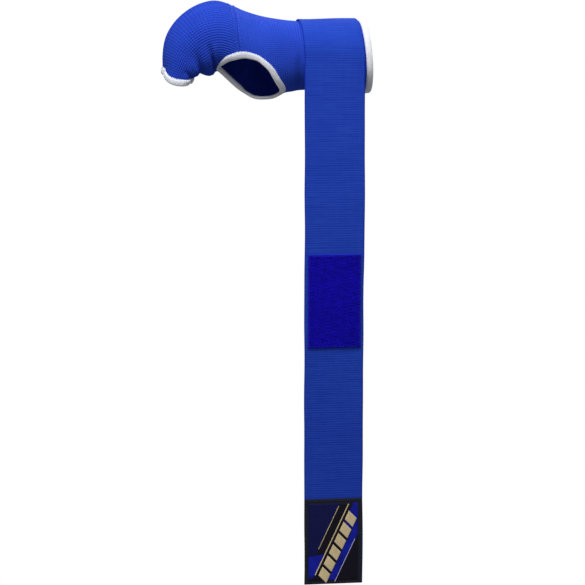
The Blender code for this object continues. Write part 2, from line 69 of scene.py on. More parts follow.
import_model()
WORLD_LOW, WORLD_HIGH, KEY_WATTS, RIM_WATTS = 0.27, 0.44, 9.4, 6.5

# ------------------------------------------------------------------ camera and light
AZIMUTH, ELEVATION, DISTANCE = math.radians(-6.5), math.radians(9.1), 1.40
AIM = (-0.0655, -0.038, -0.1930)
BACK = (math.sin(AZIMUTH) * math.cos(ELEVATION), -math.cos(AZIMUTH) * math.cos(ELEVATION), math.sin(ELEVATION))


def look(obj, at):
    from mathutils import Vector
    obj.rotation_mode = "QUATERNION"
    obj.rotation_quaternion = (Vector(at) - obj.location).to_track_quat("-Z", "Y")


cam_data = bpy.data.cameras.new("camera")
cam_data.sensor_width, cam_data.lens = 36.0, 103.877
camera = bpy.data.objects.new("camera", cam_data)
camera.location = [AIM[k] + BACK[k] * DISTANCE for k in range(3)]
bpy.context.scene.collection.objects.link(camera)
look(camera, AIM)
bpy.context.scene.camera = camera
bpy.context.scene.view_settings.view_transform = "Standard"
bpy.context.scene.view_settings.look = "None"

# ------------------------------------------------------------------ the glove's surface
SECTIONS = [
    (-1.6, 29.8, 3.6, -29.8, -34.0, 34.0, 2.10),
    (-29.0, 29.8, -26.0, -29.0, -34.0, 33.5, 2.12),
    (-57.5, 29.3, -55.0, -27.6, -34.0, 34.0, 2.20),
    (-76.6, 31.4, -71.0, -31.0, -36.0, 37.0, 2.30),
    (-87.4, 33.4, -80.5, -34.0, -38.5, 39.5, 2.40),
    (-97.3, 36.2, -90.0, -34.5, -40.0, 41.0, 2.45),
    (-105.8, 39.4, -99.0, -31.0, -41.0, 42.5, 2.50),
    (-114.0, 43.2, -107.5, -25.5, -42.0, 43.0, 2.50),
    (-124.0, 45.2, -115.0, -19.0, -42.5, 43.0, 2.50),
    (-135.0, 43.6, -120.5, -14.0, -42.5, 42.5, 2.50),
    (-147.0, 38.6, -124.0, -11.5, -42.5, 42.0, 2.50),
    (-156.8, 31.4, -127.0, -11.0, -42.0, 41.0, 2.55),
    (-163.4, 23.4, -130.5, -12.0, -41.0, 40.0, 2.65),
    (-167.4, 15.0, -134.5, -13.5, -40.0, 39.0, 2.80),
    (-169.3, 6.0, -139.0, -15.0, -39.5, 38.5, 2.95),
    (-169.8, -2.5, -143.0, -16.3, -39.0, 38.0, 3.10),
    (-169.8, -8.5, -146.5, -18.0, -38.5, 38.0, 3.20),
    (-170.8, -14.0, -149.0, -22.5, -38.0, 38.0, 3.20),
    (-171.3, -20.5, -150.5, -28.5, -37.5, 38.0, 3.20),
]
FINGER_GAPS = (-19.5, 1.0, 20.5)
FINGERS = (-29.5, -9.5, 10.5, 29.0)
THUMB_EDGE = [
    (0.496, 100.0), (0.504, 109.0), (0.519, 117.0), (0.538, 124.0), (0.558, 131.0), (0.581, 137.0),
    (0.612, 143.5), (0.650, 146.5), (0.688, 143.5), (0.714, 135.0), (0.728, 123.0), (0.735, 110.0),
    (0.733, 96.0), (0.722, 84.0), (0.703, 76.5), (0.679, 73.0), (0.640, 73.0), (0.602, 76.0),
    (0.554, 81.0), (0.523, 86.0), (0.502, 93.0),
]
SEAM_S = 115.5
KNIT_T = 1.2
GAP = 0.3
PAD_T = 7.0
PAD_U, PAD_S = (0.055, 0.445), (121.0, 172.0)
STRAP_W, STRAP_T = 50.0, 1.5
STRAP_X, STRAP_Y = -30.2, -35.1
STRAP_START_U = -0.14
SWING_Z, PANEL_TOP_Z, PANEL_LOW_Z, LABEL_Z, STRAP_END_Z = -15.5, -161.3, -241.7, -370.0, -446.4
U_STEPS = 480


def spline(x, y):
    """Natural cubic spline through the points, as a function."""
    x, y = np.asarray(x, float), np.asarray(y, float)
    n, h = len(x), np.diff(x)
    a, b = np.eye(n), np.zeros(n)
    for i in range(1, n - 1):
        a[i, i - 1 : i + 2] = h[i - 1], 2 * (h[i - 1] + h[i]), h[i]
        b[i] = 6 * ((y[i + 1] - y[i]) / h[i] - (y[i] - y[i - 1]) / h[i - 1])
    m = np.linalg.solve(a, b)

    def at(t):
        t = np.asarray(t, float)
        i = np.clip(np.searchsorted(x, t) - 1, 0, n - 2)
        d, w = t - x[i], x[i + 1] - t
        return (
            m[i] * w**3 / (6 * h[i]) + m[i + 1] * d**3 / (6 * h[i])
            + (y[i] / h[i] - m[i] * h[i] / 6) * w + (y[i + 1] / h[i] - m[i + 1] * h[i] / 6) * d
        )

    return at


def smooth(a, b, x):
    t = np.clip((np.asarray(x, float) - a) / (b - a), 0, 1)
    return t * t * (3 - 2 * t)


ROWS = np.array(SECTIONS)
STATION_S = np.concatenate([[0], np.cumsum(
    0.5 * (np.hypot(*np.diff(ROWS[:, 0:2], axis=0).T) + np.hypot(*np.diff(ROWS[:, 2:4], axis=0).T)))])
LENGTH = float(STATION_S[-1])


def station(k):
    return float(np.interp(k, np.arange(len(STATION_S)), STATION_S))


def surface_table():
    """Outer surface of the glove and its outward normals, on a grid of s rows by u columns."""
    s = np.linspace(0, LENGTH, 2 * int(round(LENGTH)) + 1)
    col = [spline(STATION_S, ROWS[:, k])(s) for k in range(7)]
    t = np.linspace(0, 2 * np.pi, 2881)
    ct, st = np.cos(t), np.sin(t)
    points = np.zeros((len(s), U_STEPS + 1, 3))
    girth = np.zeros(len(s))
    for i in range(len(s)):
        back, palm = np.array([col[0][i], 0, col[1][i]]), np.array([col[2][i], 0, col[3][i]])
        y0, y1, n = col[4][i], col[5][i], col[6][i]
        a, b = np.linalg.norm(back - palm) / 2, (y1 - y0) / 2
        up, mid = (back - palm) / (2 * a), (back + palm) / 2
        y = b * np.sign(ct) * np.abs(ct) ** (2 / n)
        h = a * np.sign(st) * np.abs(st) ** (2 / n)
        along = np.concatenate([[0], np.cumsum(np.hypot(np.diff(y), np.diff(h)))])
        girth[i] = along[-1]
        f = np.linspace(0, along[-1], U_STEPS + 1)
        y, h = np.interp(f, along, y) + (y0 + y1) / 2, np.interp(f, along, h)
        hs = h / a
        w = smooth(station(3), station(7), s[i])
        far, near = np.maximum(y + 8, 0), np.maximum(-8 - y, 0)
        slant = w * (11 * (far / 46) ** 2 + 3 * (near / 34) ** 2)
        drop = w * (5.5 * (far / 40) ** 2 + 1.5 * (near / 34) ** 2) * (0.5 + 0.5 * hs)
        drop *= 1 - 0.85 * smooth(station(10), station(14.5), s[i])
        gaps = sum(np.exp(-(((y - g) / 4.6) ** 2)) for g in FINGER_GAPS)
        knob = sum(np.exp(-(((y - g) / 6.5) ** 2)) for g in FINGERS)
        dorsal, palmar = smooth(0.1, 0.7, hs), smooth(0.1, 0.7, -hs)
        rise = 1.3 * knob * smooth(station(7), station(8.6), s[i]) * (1 - smooth(station(9), station(12), s[i]))
        deep_d = 0.5 * smooth(station(7), station(9), s[i]) + 0.9 * smooth(station(10.5), station(16), s[i])
        deep_p = 0.6 * smooth(station(8), station(10), s[i]) + 3.4 * smooth(station(11.5), station(16), s[i])
        h = h + dorsal * (rise - deep_d * gaps) + palmar * deep_p * gaps - drop
        points[i] = mid + np.outer(h, up)
        points[i, :, 0] += slant
        points[i, :, 1] = y
    points[:, -1] = points[:, 0]
    du = np.empty_like(points)
    du[:, 1:-1] = points[:, 2:] - points[:, :-2]
    du[:, 0] = du[:, -1] = points[:, 1] - points[:, -2]
    normal = np.cross(np.gradient(points, axis=0), du)
    normal /= np.maximum(np.linalg.norm(normal, axis=2, keepdims=True), 1e-9)
    return s, points, normal, girth


TABLE_S, TABLE_P, TABLE_N, GIRTH = surface_table()


def look_up(table, u, s):
    x = (np.asarray(u, float) % 1.0) * U_STEPS
    y = np.clip(np.asarray(s, float) / LENGTH * (len(TABLE_S) - 1), 0, len(TABLE_S) - 1.001)
    i, j = y.astype(int), np.minimum(x.astype(int), U_STEPS - 1)
    fy, fx = (y - i)[..., None], (x - j)[..., None]
    return ((table[i, j] * (1 - fx) + table[i, j + 1] * fx) * (1 - fy)
            + (table[i + 1, j] * (1 - fx) + table[i + 1, j + 1] * fx) * fy)


def skin(u, s, off=0.0):
    """Point of the glove's outer surface, moved out by off."""
    p, n = look_up(TABLE_P, u, s), look_up(TABLE_N, u, s)
    n = n / np.maximum(np.linalg.norm(n, axis=-1, keepdims=True), 1e-9)
    return p + n * np.asarray(off, float)[..., None]


def girth(s):
    return np.interp(s, TABLE_S, GIRTH)


# ---- edges of the knit, in the (u, s) plane
def closed_spline(points, count):
    pts = np.array(points + points[:1], float)
    ring = np.vstack([pts[-4:-1], pts, pts[1:4]])
    t = np.arange(len(ring)) - 3.0
    q = np.linspace(0, len(pts) - 1, count, endpoint=False)
    return np.stack([spline(t, ring[:, 0])(q), spline(t, ring[:, 1])(q)], axis=1)


THUMB = closed_spline(THUMB_EDGE, 400)


def finger_edge(u):
    """s of the knit's edge at the finger opening: it dips lower round the outer two fingers."""
    u = np.asarray(u, float) % 1.0
    far = np.minimum(u, 1 - u)
    return 181.5 + 5.5 * np.exp(-(((u - 0.47) / 0.085) ** 2)) + 4.0 * np.exp(-((far / 0.085) ** 2))


def thumb_distance(u, s):
    """Distance in mm from the thumb opening's edge, negative inside the opening; 40 far away from it."""
    u, s = np.broadcast_arrays(np.asarray(u, float) % 1.0, np.asarray(s, float))
    out = np.full(u.size, 40.0)
    near = np.flatnonzero((u.ravel() > 0.40) & (u.ravel() < 0.83) & (s.ravel() > 55) & (s.ravel() < 165))
    for part in np.array_split(near, max(1, len(near) // 4000)):
        if not len(part):
            continue
        k = girth(s.ravel()[part])[:, None]
        x, y = u.ravel()[part][:, None] * k, s.ravel()[part][:, None]
        a, b = THUMB, np.roll(THUMB, -1, axis=0)
        ax, ay, bx, by = a[:, 0] * k, a[:, 1], b[:, 0] * k, b[:, 1]
        ex, ey = bx - ax, by - ay
        t = np.clip(((x - ax) * ex + (y - ay) * ey) / (ex**2 + ey**2), 0, 1)
        d = np.sqrt((ax + t * ex - x) ** 2 + (ay + t * ey - y) ** 2).min(axis=1)
        crosses = ((ay <= y) != (by <= y)) & (x < ax + (y - ay) / np.where(by == ay, 1, by - ay) * ex)
        out[part] = np.where(crosses.sum(axis=1) % 2 == 1, -d, d)
    return out.reshape(u.shape)


def knit_region(u, s):
    """Positive where there is knit: outside the thumb opening and short of the finger opening."""
    return np.minimum(thumb_distance(u, s), finger_edge(u) - s)


def pad_margin(u, s):
    """Distance inside the padding's outline, negative outside."""
    u = (np.asarray(u, float) + 0.5) % 1.0 - 0.5
    k = girth(s)
    return np.minimum(np.minimum((u - PAD_U[0]) * k, (PAD_U[1] - u) * k), np.minimum(s - PAD_S[0], PAD_S[1] - s))


def pad_depth(u, s):
    m = pad_margin(u, s)
    return np.where(m > -0.5, 0.8 + (PAD_T - 0.8) * smooth(0, 16, m), 0.0)


# ------------------------------------------------------------------ creases, laid over the smooth surface
def crease(u, s, path, sharp=1.5, lip=0.3):
    """Depth at each point of a crease along path, rows of (u, s, depth, half width in mm); its lips stand up a little."""
    p = np.array(path, float)
    q = np.linspace(0, len(p) - 1, 90)
    rows = np.stack([spline(np.arange(len(p)), p[:, k])(q) for k in range(4)], axis=1)
    k = 232.0
    x, y = u.ravel()[:, None] * k, s.ravel()[:, None]
    box = np.flatnonzero((u.ravel() > rows[:, 0].min() - 0.12) & (u.ravel() < rows[:, 0].max() + 0.12)
                         & (s.ravel() > rows[:, 1].min() - 22) & (s.ravel() < rows[:, 1].max() + 22))
    out = np.zeros(u.size)
    d = np.hypot(x[box] - rows[:, 0] * k, y[box] - rows[:, 1])
    n = d.argmin(axis=1)
    r = d.min(axis=1) / np.maximum(rows[n, 3], 0.3)
    out[box] = -rows[n, 2] * (np.exp(-(r**sharp)) - lip * np.exp(-(((r - 2.3) / 1.1) ** 2)))
    return out.reshape(u.shape)


def relief(u, s):
    """Creases and bulges of the worn knit, in mm outwards."""
    h = crease(u, s, [(0.497, 143.5, 0.0, 2.2), (0.523, 145.8, 1.6, 2.0), (0.562, 147.9, 3.4, 1.9), (0.600, 149.8, 3.9, 2.0),
                      (0.640, 151.8, 2.6, 2.4), (0.680, 152.6, 1.2, 2.8), (0.730, 152.8, 0.0, 3.2)])
    h += crease(u, s, [(0.490, 156.0, 0.0, 3.5), (0.512, 158.6, 1.0, 3.4), (0.538, 161.8, 2.4, 3.0), (0.571, 165.4, 3.2, 2.8),
                       (0.620, 168.6, 3.2, 2.8), (0.700, 170.8, 2.4, 3.2), (0.790, 170.0, 1.6, 3.6), (0.900, 168.0, 0.0, 4.0)],
                lip=0.15)
    h += crease(u, s, [(0.500, 178.0, 0.0, 2.0), (0.520, 179.2, 1.2, 1.9), (0.560, 180.6, 1.8, 1.9), (0.600, 181.0, 0.0, 2.2)],
                lip=0.2)
    h += crease(u, s, [(0.700, 160.0, 0.0, 3.0), (0.790, 159.5, 0.9, 2.6), (0.880, 158.0, 0.0, 3.0)], lip=0.2)
    # the roll of knit between the two creases hangs lower on the palm side
    bulge = lambda uc, sc, wu, ws, a: a * np.exp(-(((u - uc) / wu) ** 2) - ((s - sc) / ws) ** 2)
    # the knit is drawn in beside the edge of the strap
    h += crease(u, s, [(0.400, 59.4, 0.0, 2.6), (0.460, 59.5, 0.7, 2.7), (0.520, 59.8, 1.5, 3.0), (0.580, 60.2, 1.9, 3.2),
                       (0.640, 60.4, 1.3, 3.2), (0.720, 60.4, 0.0, 3.0)], sharp=1.5, lip=0.0)
    h += bulge(0.640, 159.5, 0.060, 6.0, 3.0) + bulge(0.745, 155.0, 0.075, 8.5, 3.6) + bulge(0.560, 156.0, 0.035, 4.5, 0.9)
    h += bulge(0.535, 171.5, 0.05, 5.0, 0.8)
    # small waves of slack knit on the palm and by the strap
    h += 0.30 * np.sin(s / 3.1 + 9 * u) * smooth(0.60, 0.68, u) * (1 - smooth(0.86, 0.94, u)) * smooth(60, 66, s) * (1 - smooth(100, 112, s))
    h += 0.22 * np.sin(s / 2.4 + 2.2 * np.sin(u * 31)) * smooth(0.40, 0.46, u) * (1 - smooth(0.52, 0.60, u)) * smooth(57, 60, s) * (1 - smooth(64, 72, s))
    return h


grid_u, grid_s = np.meshgrid(np.linspace(0, 1, U_STEPS + 1), TABLE_S)
lifted = relief(grid_u, grid_s)
lifted[:, -1] = lifted[:, 0]
TABLE_P = TABLE_P + TABLE_N * lifted[..., None]
_du = np.empty_like(TABLE_P)
_du[:, 1:-1] = TABLE_P[:, 2:] - TABLE_P[:, :-2]
_du[:, 0] = _du[:, -1] = TABLE_P[:, 1] - TABLE_P[:, -2]
TABLE_N = np.cross(np.gradient(TABLE_P, axis=0), _du)
TABLE_N /= np.maximum(np.linalg.norm(TABLE_N, axis=2, keepdims=True), 1e-9)


def seam_shift(u, s):
    """The seam runs a little nearer the wrist over the back of the hand; rows either side of it follow."""
    u = np.asarray(u, float) % 1.0
    w = np.minimum(1 - smooth(0.34, 0.475, u) + smooth(0.78, 0.98, u), 1.0)
    return -3.0 * w * smooth(SEAM_S - 40, SEAM_S - 4, s) * (1 - smooth(SEAM_S + 6, SEAM_S + 46, s))


def unshift(u, s):
    """The row of a shifted grid that lies at s, for what depends on the distance from the seam."""
    row = np.asarray(s, float)
    for _ in range(5):
        row = s - seam_shift(u, row)
    return row


# ------------------------------------------------------------------ meshes
def make(name, points_mm, faces, uv=None, smooth_shade=True, materials=(), face_material=None):
    mesh = bpy.data.meshes.new(name)
    mesh.from_pydata((np.asarray(points_mm) * 0.001).tolist(), [], faces if isinstance(faces, list) else faces.tolist())
    if uv is not None:
        layer = mesh.uv_layers.new(name="weave")
        layer.data.foreach_set("uv", np.asarray(uv, np.float32).ravel())
    mesh.polygons.foreach_set("use_smooth", np.full(len(mesh.polygons), smooth_shade))
    for m in materials:
        mesh.materials.append(m)
    if face_material is not None:
        mesh.polygons.foreach_set("material_index", np.asarray(face_material, np.int32))
    mesh.update()
    obj = bpy.data.objects.new(name, mesh)
    bpy.context.scene.collection.objects.link(obj)
    return obj


def knit_layer(name, columns, rows, keep, top, thickness, mat):
    """A closed layer of knit over the (u, s) cells where keep > 0. UVs are (u * 100, s) with u round the tube."""
    us, rows = np.arange(columns + 1) / columns, np.asarray(rows, float)
    u, s = np.meshgrid(us[:-1], rows)
    s = s + seam_shift(u, s)
    inside = keep(u, s) > 0
    nxt = np.roll(inside, -1, axis=1)
    cell = inside[:-1] & nxt[:-1] & inside[1:] & nxt[1:]
    i, j = np.nonzero(cell)
    j1 = (j + 1) % columns
    flat = lambda a, b: a * columns + b
    quads = np.stack([flat(i, j), flat(i, j1), flat(i + 1, j1), flat(i + 1, j)], axis=1)
    used, back = np.unique(quads, return_inverse=True)
    quads = back.reshape(-1, 4)
    uu, ss = u.ravel()[used], s.ravel()[used]
    up = top(uu, ss)
    low = up - thickness(uu, ss)
    n = len(used)
    points = np.vstack([skin(uu, ss, up), skin(uu, ss, low)])
    edges = np.vstack([quads[:, [0, 1]], quads[:, [1, 2]], quads[:, [2, 3]], quads[:, [3, 0]]])
    code = edges[:, 0].astype(np.int64) * n + edges[:, 1]
    other = edges[:, 1].astype(np.int64) * n + edges[:, 0]
    rim = edges[~np.isin(code, other)]
    wall = np.stack([rim[:, 1], rim[:, 0], rim[:, 0] + n, rim[:, 1] + n], axis=1)
    faces = np.vstack([quads[:, ::-1], quads + n, wall])
    ua, ub, sa, sb = us[j] * 100, us[j + 1] * 100, rows[i], rows[i + 1]
    corner = np.stack([np.stack([ua, sa], 1), np.stack([ub, sa], 1), np.stack([ub, sb], 1), np.stack([ua, sb], 1)], axis=1)
    wall_uv = np.stack([uu[wall % n] * 100, ss[wall % n]], axis=2)
    uv = np.concatenate([corner[:, ::-1], corner, wall_uv]).reshape(-1, 2)
    obj = make(name, points, faces, uv, True, [mat])
    return obj


def tube_mesh(name, rings, closed, mat, uv=None, caps=True):
    """rings is (count, sides, 3); faces run between consecutive rings."""
    count, sides = rings.shape[:2]
    i = np.arange(count if closed else count - 1)
    a, b = np.meshgrid(i, np.arange(sides), indexing="ij")
    a1, b1 = (a + 1) % count, (b + 1) % sides
    quads = np.stack([a * sides + b, a * sides + b1, a1 * sides + b1, a1 * sides + b], axis=2).reshape(-1, 4)
    faces = quads.tolist()
    loops = None
    if uv is not None:
        along, around = uv
        end = np.append(along, along[-1] + (along[-1] - along[-2])) if closed else along
        rnd = np.append(around, around[0] + 1.0 if around[-1] > 0.5 else around[0])
        loops = np.stack([np.stack([rnd[b], end[a]], 2), np.stack([rnd[b + 1], end[a]], 2),
                          np.stack([rnd[b + 1], end[a + 1]], 2), np.stack([rnd[b], end[a + 1]], 2)], axis=2).reshape(-1, 2)
    if not closed and caps:
        faces += [list(range(sides))[::-1], [(count - 1) * sides + k for k in range(sides)]]
        if loops is not None:
            loops = np.vstack([loops, np.tile([[around[0], along[0]]], (sides, 1)), np.tile([[around[0], along[-1]]], (sides, 1))])
    obj = make(name, rings.reshape(-1, 3), faces, loops, True, [mat])
    fix_outward(obj)
    return obj


def fix_outward(obj):
    import bmesh
    work = bmesh.new()
    work.from_mesh(obj.data)
    bmesh.ops.recalc_face_normals(work, faces=work.faces)
    work.to_mesh(obj.data)
    work.free()


def stitches(name, points, normals, mat, length=2.4, gap=0.8, radius=0.28, sink=0.35, closed=False, slant=0.0):
    """A row of thread stitches along points (mm), each a little bar that dives into the cloth at both ends."""
    p, nrm = np.asarray(points, float), np.asarray(normals, float)
    if closed:
        p, nrm = np.vstack([p, p[:1]]), np.vstack([nrm, nrm[:1]])
    run = np.concatenate([[0], np.cumsum(np.linalg.norm(np.diff(p, axis=0), axis=1))])
    count = max(1, int(round(run[-1] / (length + gap))))
    pitch = run[-1] / count
    sides, steps = 6, 5
    rings, faces = [], []
    at = lambda q, arr: np.stack([np.interp(q, run, arr[:, k]) for k in range(3)], axis=-1)
    for c in range(count):
        q = pitch * c + gap / 2 + (pitch - gap) * np.linspace(0, 1, steps)
        mid, up = at(q, p), at(q, nrm)
        up /= np.linalg.norm(up, axis=1, keepdims=True)
        t = at(np.array([q[-1]]), p)[0] - at(np.array([q[0]]), p)[0]
        t /= max(np.linalg.norm(t), 1e-9)
        side = np.cross(up, t)
        side /= np.linalg.norm(side, axis=1, keepdims=True)
        arch = np.array([-1.0, 0.45, 0.75, 0.45, -1.0]) * sink
        size = np.array([0.55, 0.95, 1.0, 0.95, 0.55]) * radius
        shift = np.linspace(-slant, slant, steps)
        base = len(rings) * sides
        for k in range(steps):
            a = np.arange(sides) * 2 * np.pi / sides
            rings.append(mid[k] + up[k] * arch[k] + side[k] * shift[k]
                         + size[k] * (np.cos(a)[:, None] * side[k] + np.sin(a)[:, None] * up[k]))
        for k in range(steps - 1):
            for m in range(sides):
                x, y = base + k * sides + m, base + k * sides + (m + 1) % sides
                faces.append([x, y, y + sides, x + sides])
        faces.append([base + m for m in range(sides)][::-1])
        faces.append([base + (steps - 1) * sides + m for m in range(sides)])
    obj = make(name, np.vstack(rings), faces, None, True, [mat])
    fix_outward(obj)
    return obj


# ------------------------------------------------------------------ materials
class Nodes:
    """Small helper to write shader node trees."""

    def __init__(self, name):
        self.mat = bpy.data.materials.new(name)
        self.mat.use_nodes = True
        self.tree = self.mat.node_tree
        self.tree.nodes.clear()
        self.shader = self.add("ShaderNodeBsdfPrincipled")
        self.out = self.add("ShaderNodeOutputMaterial")
        self.tree.links.new(self.shader.outputs[0], self.out.inputs[0])

    def add(self, kind, **props):
        node = self.tree.nodes.new(kind)
        for k, v in props.items():
            setattr(node, k, v)
        return node

    def link(self, a, b):
        if isinstance(a, (int, float)):
            b.default_value = a
        elif isinstance(a, (tuple, list)):
            b.default_value = a
        else:
            self.tree.links.new(a, b)

    def math(self, op, *args, clamp=False):
        node = self.add("ShaderNodeMath", operation=op, use_clamp=clamp)
        for n, a in enumerate(args):
            self.link(a, node.inputs[n])
        return node.outputs[0]

    def wave(self, x, pitch, phase=0.0):
        """0..1 wave along x."""
        v = self.math("MULTIPLY_ADD", x, 2 * math.pi / pitch, phase)
        return self.math("MULTIPLY_ADD", self.math("SINE", v), 0.5, 0.5)

    def noise(self, vector, scale, detail=3.0, rough=0.5):
        node = self.add("ShaderNodeTexNoise")
        node.inputs["Scale"].default_value = scale
        node.inputs["Detail"].default_value = detail
        node.inputs["Roughness"].default_value = rough
        if vector is not None:
            self.tree.links.new(vector, node.inputs["Vector"])
        return node.outputs["Fac"]

    def remap(self, x, a, b, c, d):
        node = self.add("ShaderNodeMapRange")
        node.inputs[1].default_value, node.inputs[2].default_value = a, b
        node.inputs[3].default_value, node.inputs[4].default_value = c, d
        self.tree.links.new(x, node.inputs[0])
        return node.outputs[0]

    def mix(self, factor, a, b, kind="MIX"):
        node = self.add("ShaderNodeMix", data_type="RGBA", blend_type=kind)
        self.link(factor, node.inputs[0])
        self.link(a, node.inputs[6])
        self.link(b, node.inputs[7])
        return node.outputs[2]

    def uv(self):
        node = self.add("ShaderNodeUVMap", uv_map="weave")
        sep = self.add("ShaderNodeSeparateXYZ")
        self.tree.links.new(node.outputs[0], sep.inputs[0])
        return node.outputs[0], sep.outputs[0], sep.outputs[1]

    def place(self):
        node = self.add("ShaderNodeTexCoord")
        sep = self.add("ShaderNodeSeparateXYZ")
        self.tree.links.new(node.outputs["Object"], sep.inputs[0])
        return node.outputs["Object"], sep.outputs[0], sep.outputs[1], sep.outputs[2]

    def stretch(self, vector, x, y, z):
        node = self.add("ShaderNodeMapping")
        node.inputs["Scale"].default_value = (x, y, z)
        self.tree.links.new(vector, node.inputs["Vector"])
        return node.outputs[0]

    def bump(self, height, distance, strength=1.0, under=None):
        node = self.add("ShaderNodeBump")
        node.inputs["Strength"].default_value = strength
        node.inputs["Distance"].default_value = distance
        self.tree.links.new(height, node.inputs["Height"])
        if under is not None:
            self.tree.links.new(under, node.inputs["Normal"])
        return node.outputs[0]

    def finish(self, colour, rough, normal=None, sheen=0.0, sheen_rough=0.4, tint=(1, 1, 1, 1), spec=0.2):
        s = self.shader
        self.link(colour, s.inputs["Base Color"])
        self.link(rough, s.inputs["Roughness"])
        if normal is not None:
            self.tree.links.new(normal, s.inputs["Normal"])
        s.inputs["Sheen Weight"].default_value = sheen
        s.inputs["Sheen Roughness"].default_value = sheen_rough
        s.inputs["Sheen Tint"].default_value = tint
        s.inputs["Specular IOR Level"].default_value = spec
        return self.mat


def scaled(c, k):
    return (c[0] * k, c[1] * k, c[2] * k, 1.0)


GLOVE_BLUE = (0.0180, 0.0555, 0.455)
STRAP_BLUE = (0.0150, 0.053, 0.425)
GROOVE_SHADE_BLUE, GROOVE_SHADE_STRAP = (0.0, 0.0, 0.20, 1.0), (0.0, 0.0, 0.24, 1.0)      # dark ends of the tone mixes: the painted shade in the grooves between the threads keeps its blue
LOOP_NAVY = (0.0062, 0.0028, 0.400)
TRIM_WHITE = (0.88, 0.905, 0.97)
BLUE_TINT = (0.35, 0.5, 1.0, 1.0)
RIBS = 110


def cover_material():
    """Ribbed knit over the knuckles: ribs are in the mesh; rows of stitches cross them."""
    n = Nodes("knit_ribbed")
    uv, u, s = n.uv()
    pos, _, _, _ = n.place()
    rib = n.wave(u, 100.0 / RIBS, -math.pi / 2)               # 0 in a groove, 1 on a rib
    groove = n.math("POWER", n.math("SUBTRACT", 1.0, rib), 2.2)
    course = n.wave(s, 1.9)
    loopy = n.math("MULTIPLY", n.wave(s, 0.95), rib)
    fibre = n.noise(n.stretch(pos, 1.0, 1.0, 1.0), 2600.0, 2.0, 0.6)
    patch = n.noise(pos, 55.0, 3.0, 0.55)
    front = n.remap(s, 128.0, 150.0, 0.35, 1.0)                # rows of stitches show more over the fingers
    gap = n.math("MULTIPLY", n.math("POWER", n.math("SUBTRACT", 1.0, course), 2.0), front)
    # painted shade: the colour darkens in the grooves between the ribs of the mesh
    tone = n.math("MULTIPLY_ADD", groove, -0.52, 1.10)
    tone = n.math("MULTIPLY", tone, n.math("MULTIPLY_ADD", gap, -0.30, 1.04))
    tone = n.math("MULTIPLY", tone, n.remap(fibre, 0.3, 0.7, 0.80, 1.16))
    tone = n.math("MULTIPLY", tone, n.remap(patch, 0.3, 0.7, 0.90, 1.08))
    colour = n.mix(tone, GROOVE_SHADE_BLUE, scaled(GLOVE_BLUE, 1.0))
    node = colour.node
    node.clamp_factor = False
    height = n.math("MULTIPLY_ADD", course, 0.6, n.math("MULTIPLY", loopy, 0.25))
    height = n.math("MULTIPLY_ADD", fibre, 0.35, height)
    rough = n.remap(patch, 0.3, 0.7, 0.84, 0.95)
    return n.finish(colour, rough, n.bump(height, 0.00032, 0.9), 0.03, 0.5, BLUE_TINT, 0.06)


def sleeve_material():
    """Plain side of the hand: fine wales along it and faint rows of stitches across."""
    n = Nodes("knit_plain")
    uv, u, s = n.uv()
    pos, _, _, _ = n.place()
    wale = n.wave(u, 100.0 / 138, 0.0)
    fine = n.wave(u, 100.0 / 276, 0.0)
    course = n.wave(s, 2.0)
    half = n.wave(s, 1.0)
    fibre = n.noise(pos, 2600.0, 2.0, 0.6)
    patch = n.noise(pos, 45.0, 3.0, 0.55)
    where = n.noise(n.stretch(uv, 0.05, 0.05, 1.0), 1.0, 2.0)
    soft = n.remap(where, 0.35, 0.65, 0.6, 1.0)
    side = n.remap(n.math("ABSOLUTE", n.math("MULTIPLY_ADD", n.math("MODULO", u, 100.0), 1.0, -25.0)), 15.0, 26.0, 0.0, 1.0)
    bend = n.math("MULTIPLY_ADD", n.noise(n.stretch(uv, 1.3, 0.35, 1.0), 1.0, 2.0), 2.2, -1.1)
    course = n.wave(n.math("ADD", s, n.math("MULTIPLY", bend, 0.5)), 2.0)
    wale = n.wave(n.math("MULTIPLY_ADD", bend, 0.30, u), 100.0 / 138)
    across = n.math("MULTIPLY", course, n.math("MULTIPLY_ADD", side, -0.26, 0.40))
    length = n.math("MULTIPLY", wale, n.math("MULTIPLY_ADD", side, 0.22, 0.12))
    tone = n.math("ADD", n.math("MULTIPLY", n.math("ADD", across, length), soft), 0.79)
    tone = n.math("MULTIPLY", tone, n.remap(fibre, 0.3, 0.7, 0.88, 1.10))
    tone = n.math("MULTIPLY", tone, n.remap(patch, 0.3, 0.7, 0.94, 1.06))
    colour = n.mix(tone, GROOVE_SHADE_BLUE, scaled(GLOVE_BLUE, 1.04))
    colour.node.clamp_factor = False
    height = n.math("MULTIPLY_ADD", course, 0.45, n.math("MULTIPLY", wale, 0.40))
    height = n.math("MULTIPLY_ADD", n.math("MULTIPLY", half, fine), 0.30, height)
    height = n.math("MULTIPLY_ADD", fibre, 0.30, height)
    rough = n.remap(patch, 0.3, 0.7, 0.84, 0.95)
    return n.finish(colour, rough, n.bump(height, 0.00030, 0.9), 0.03, 0.5, BLUE_TINT, 0.06)


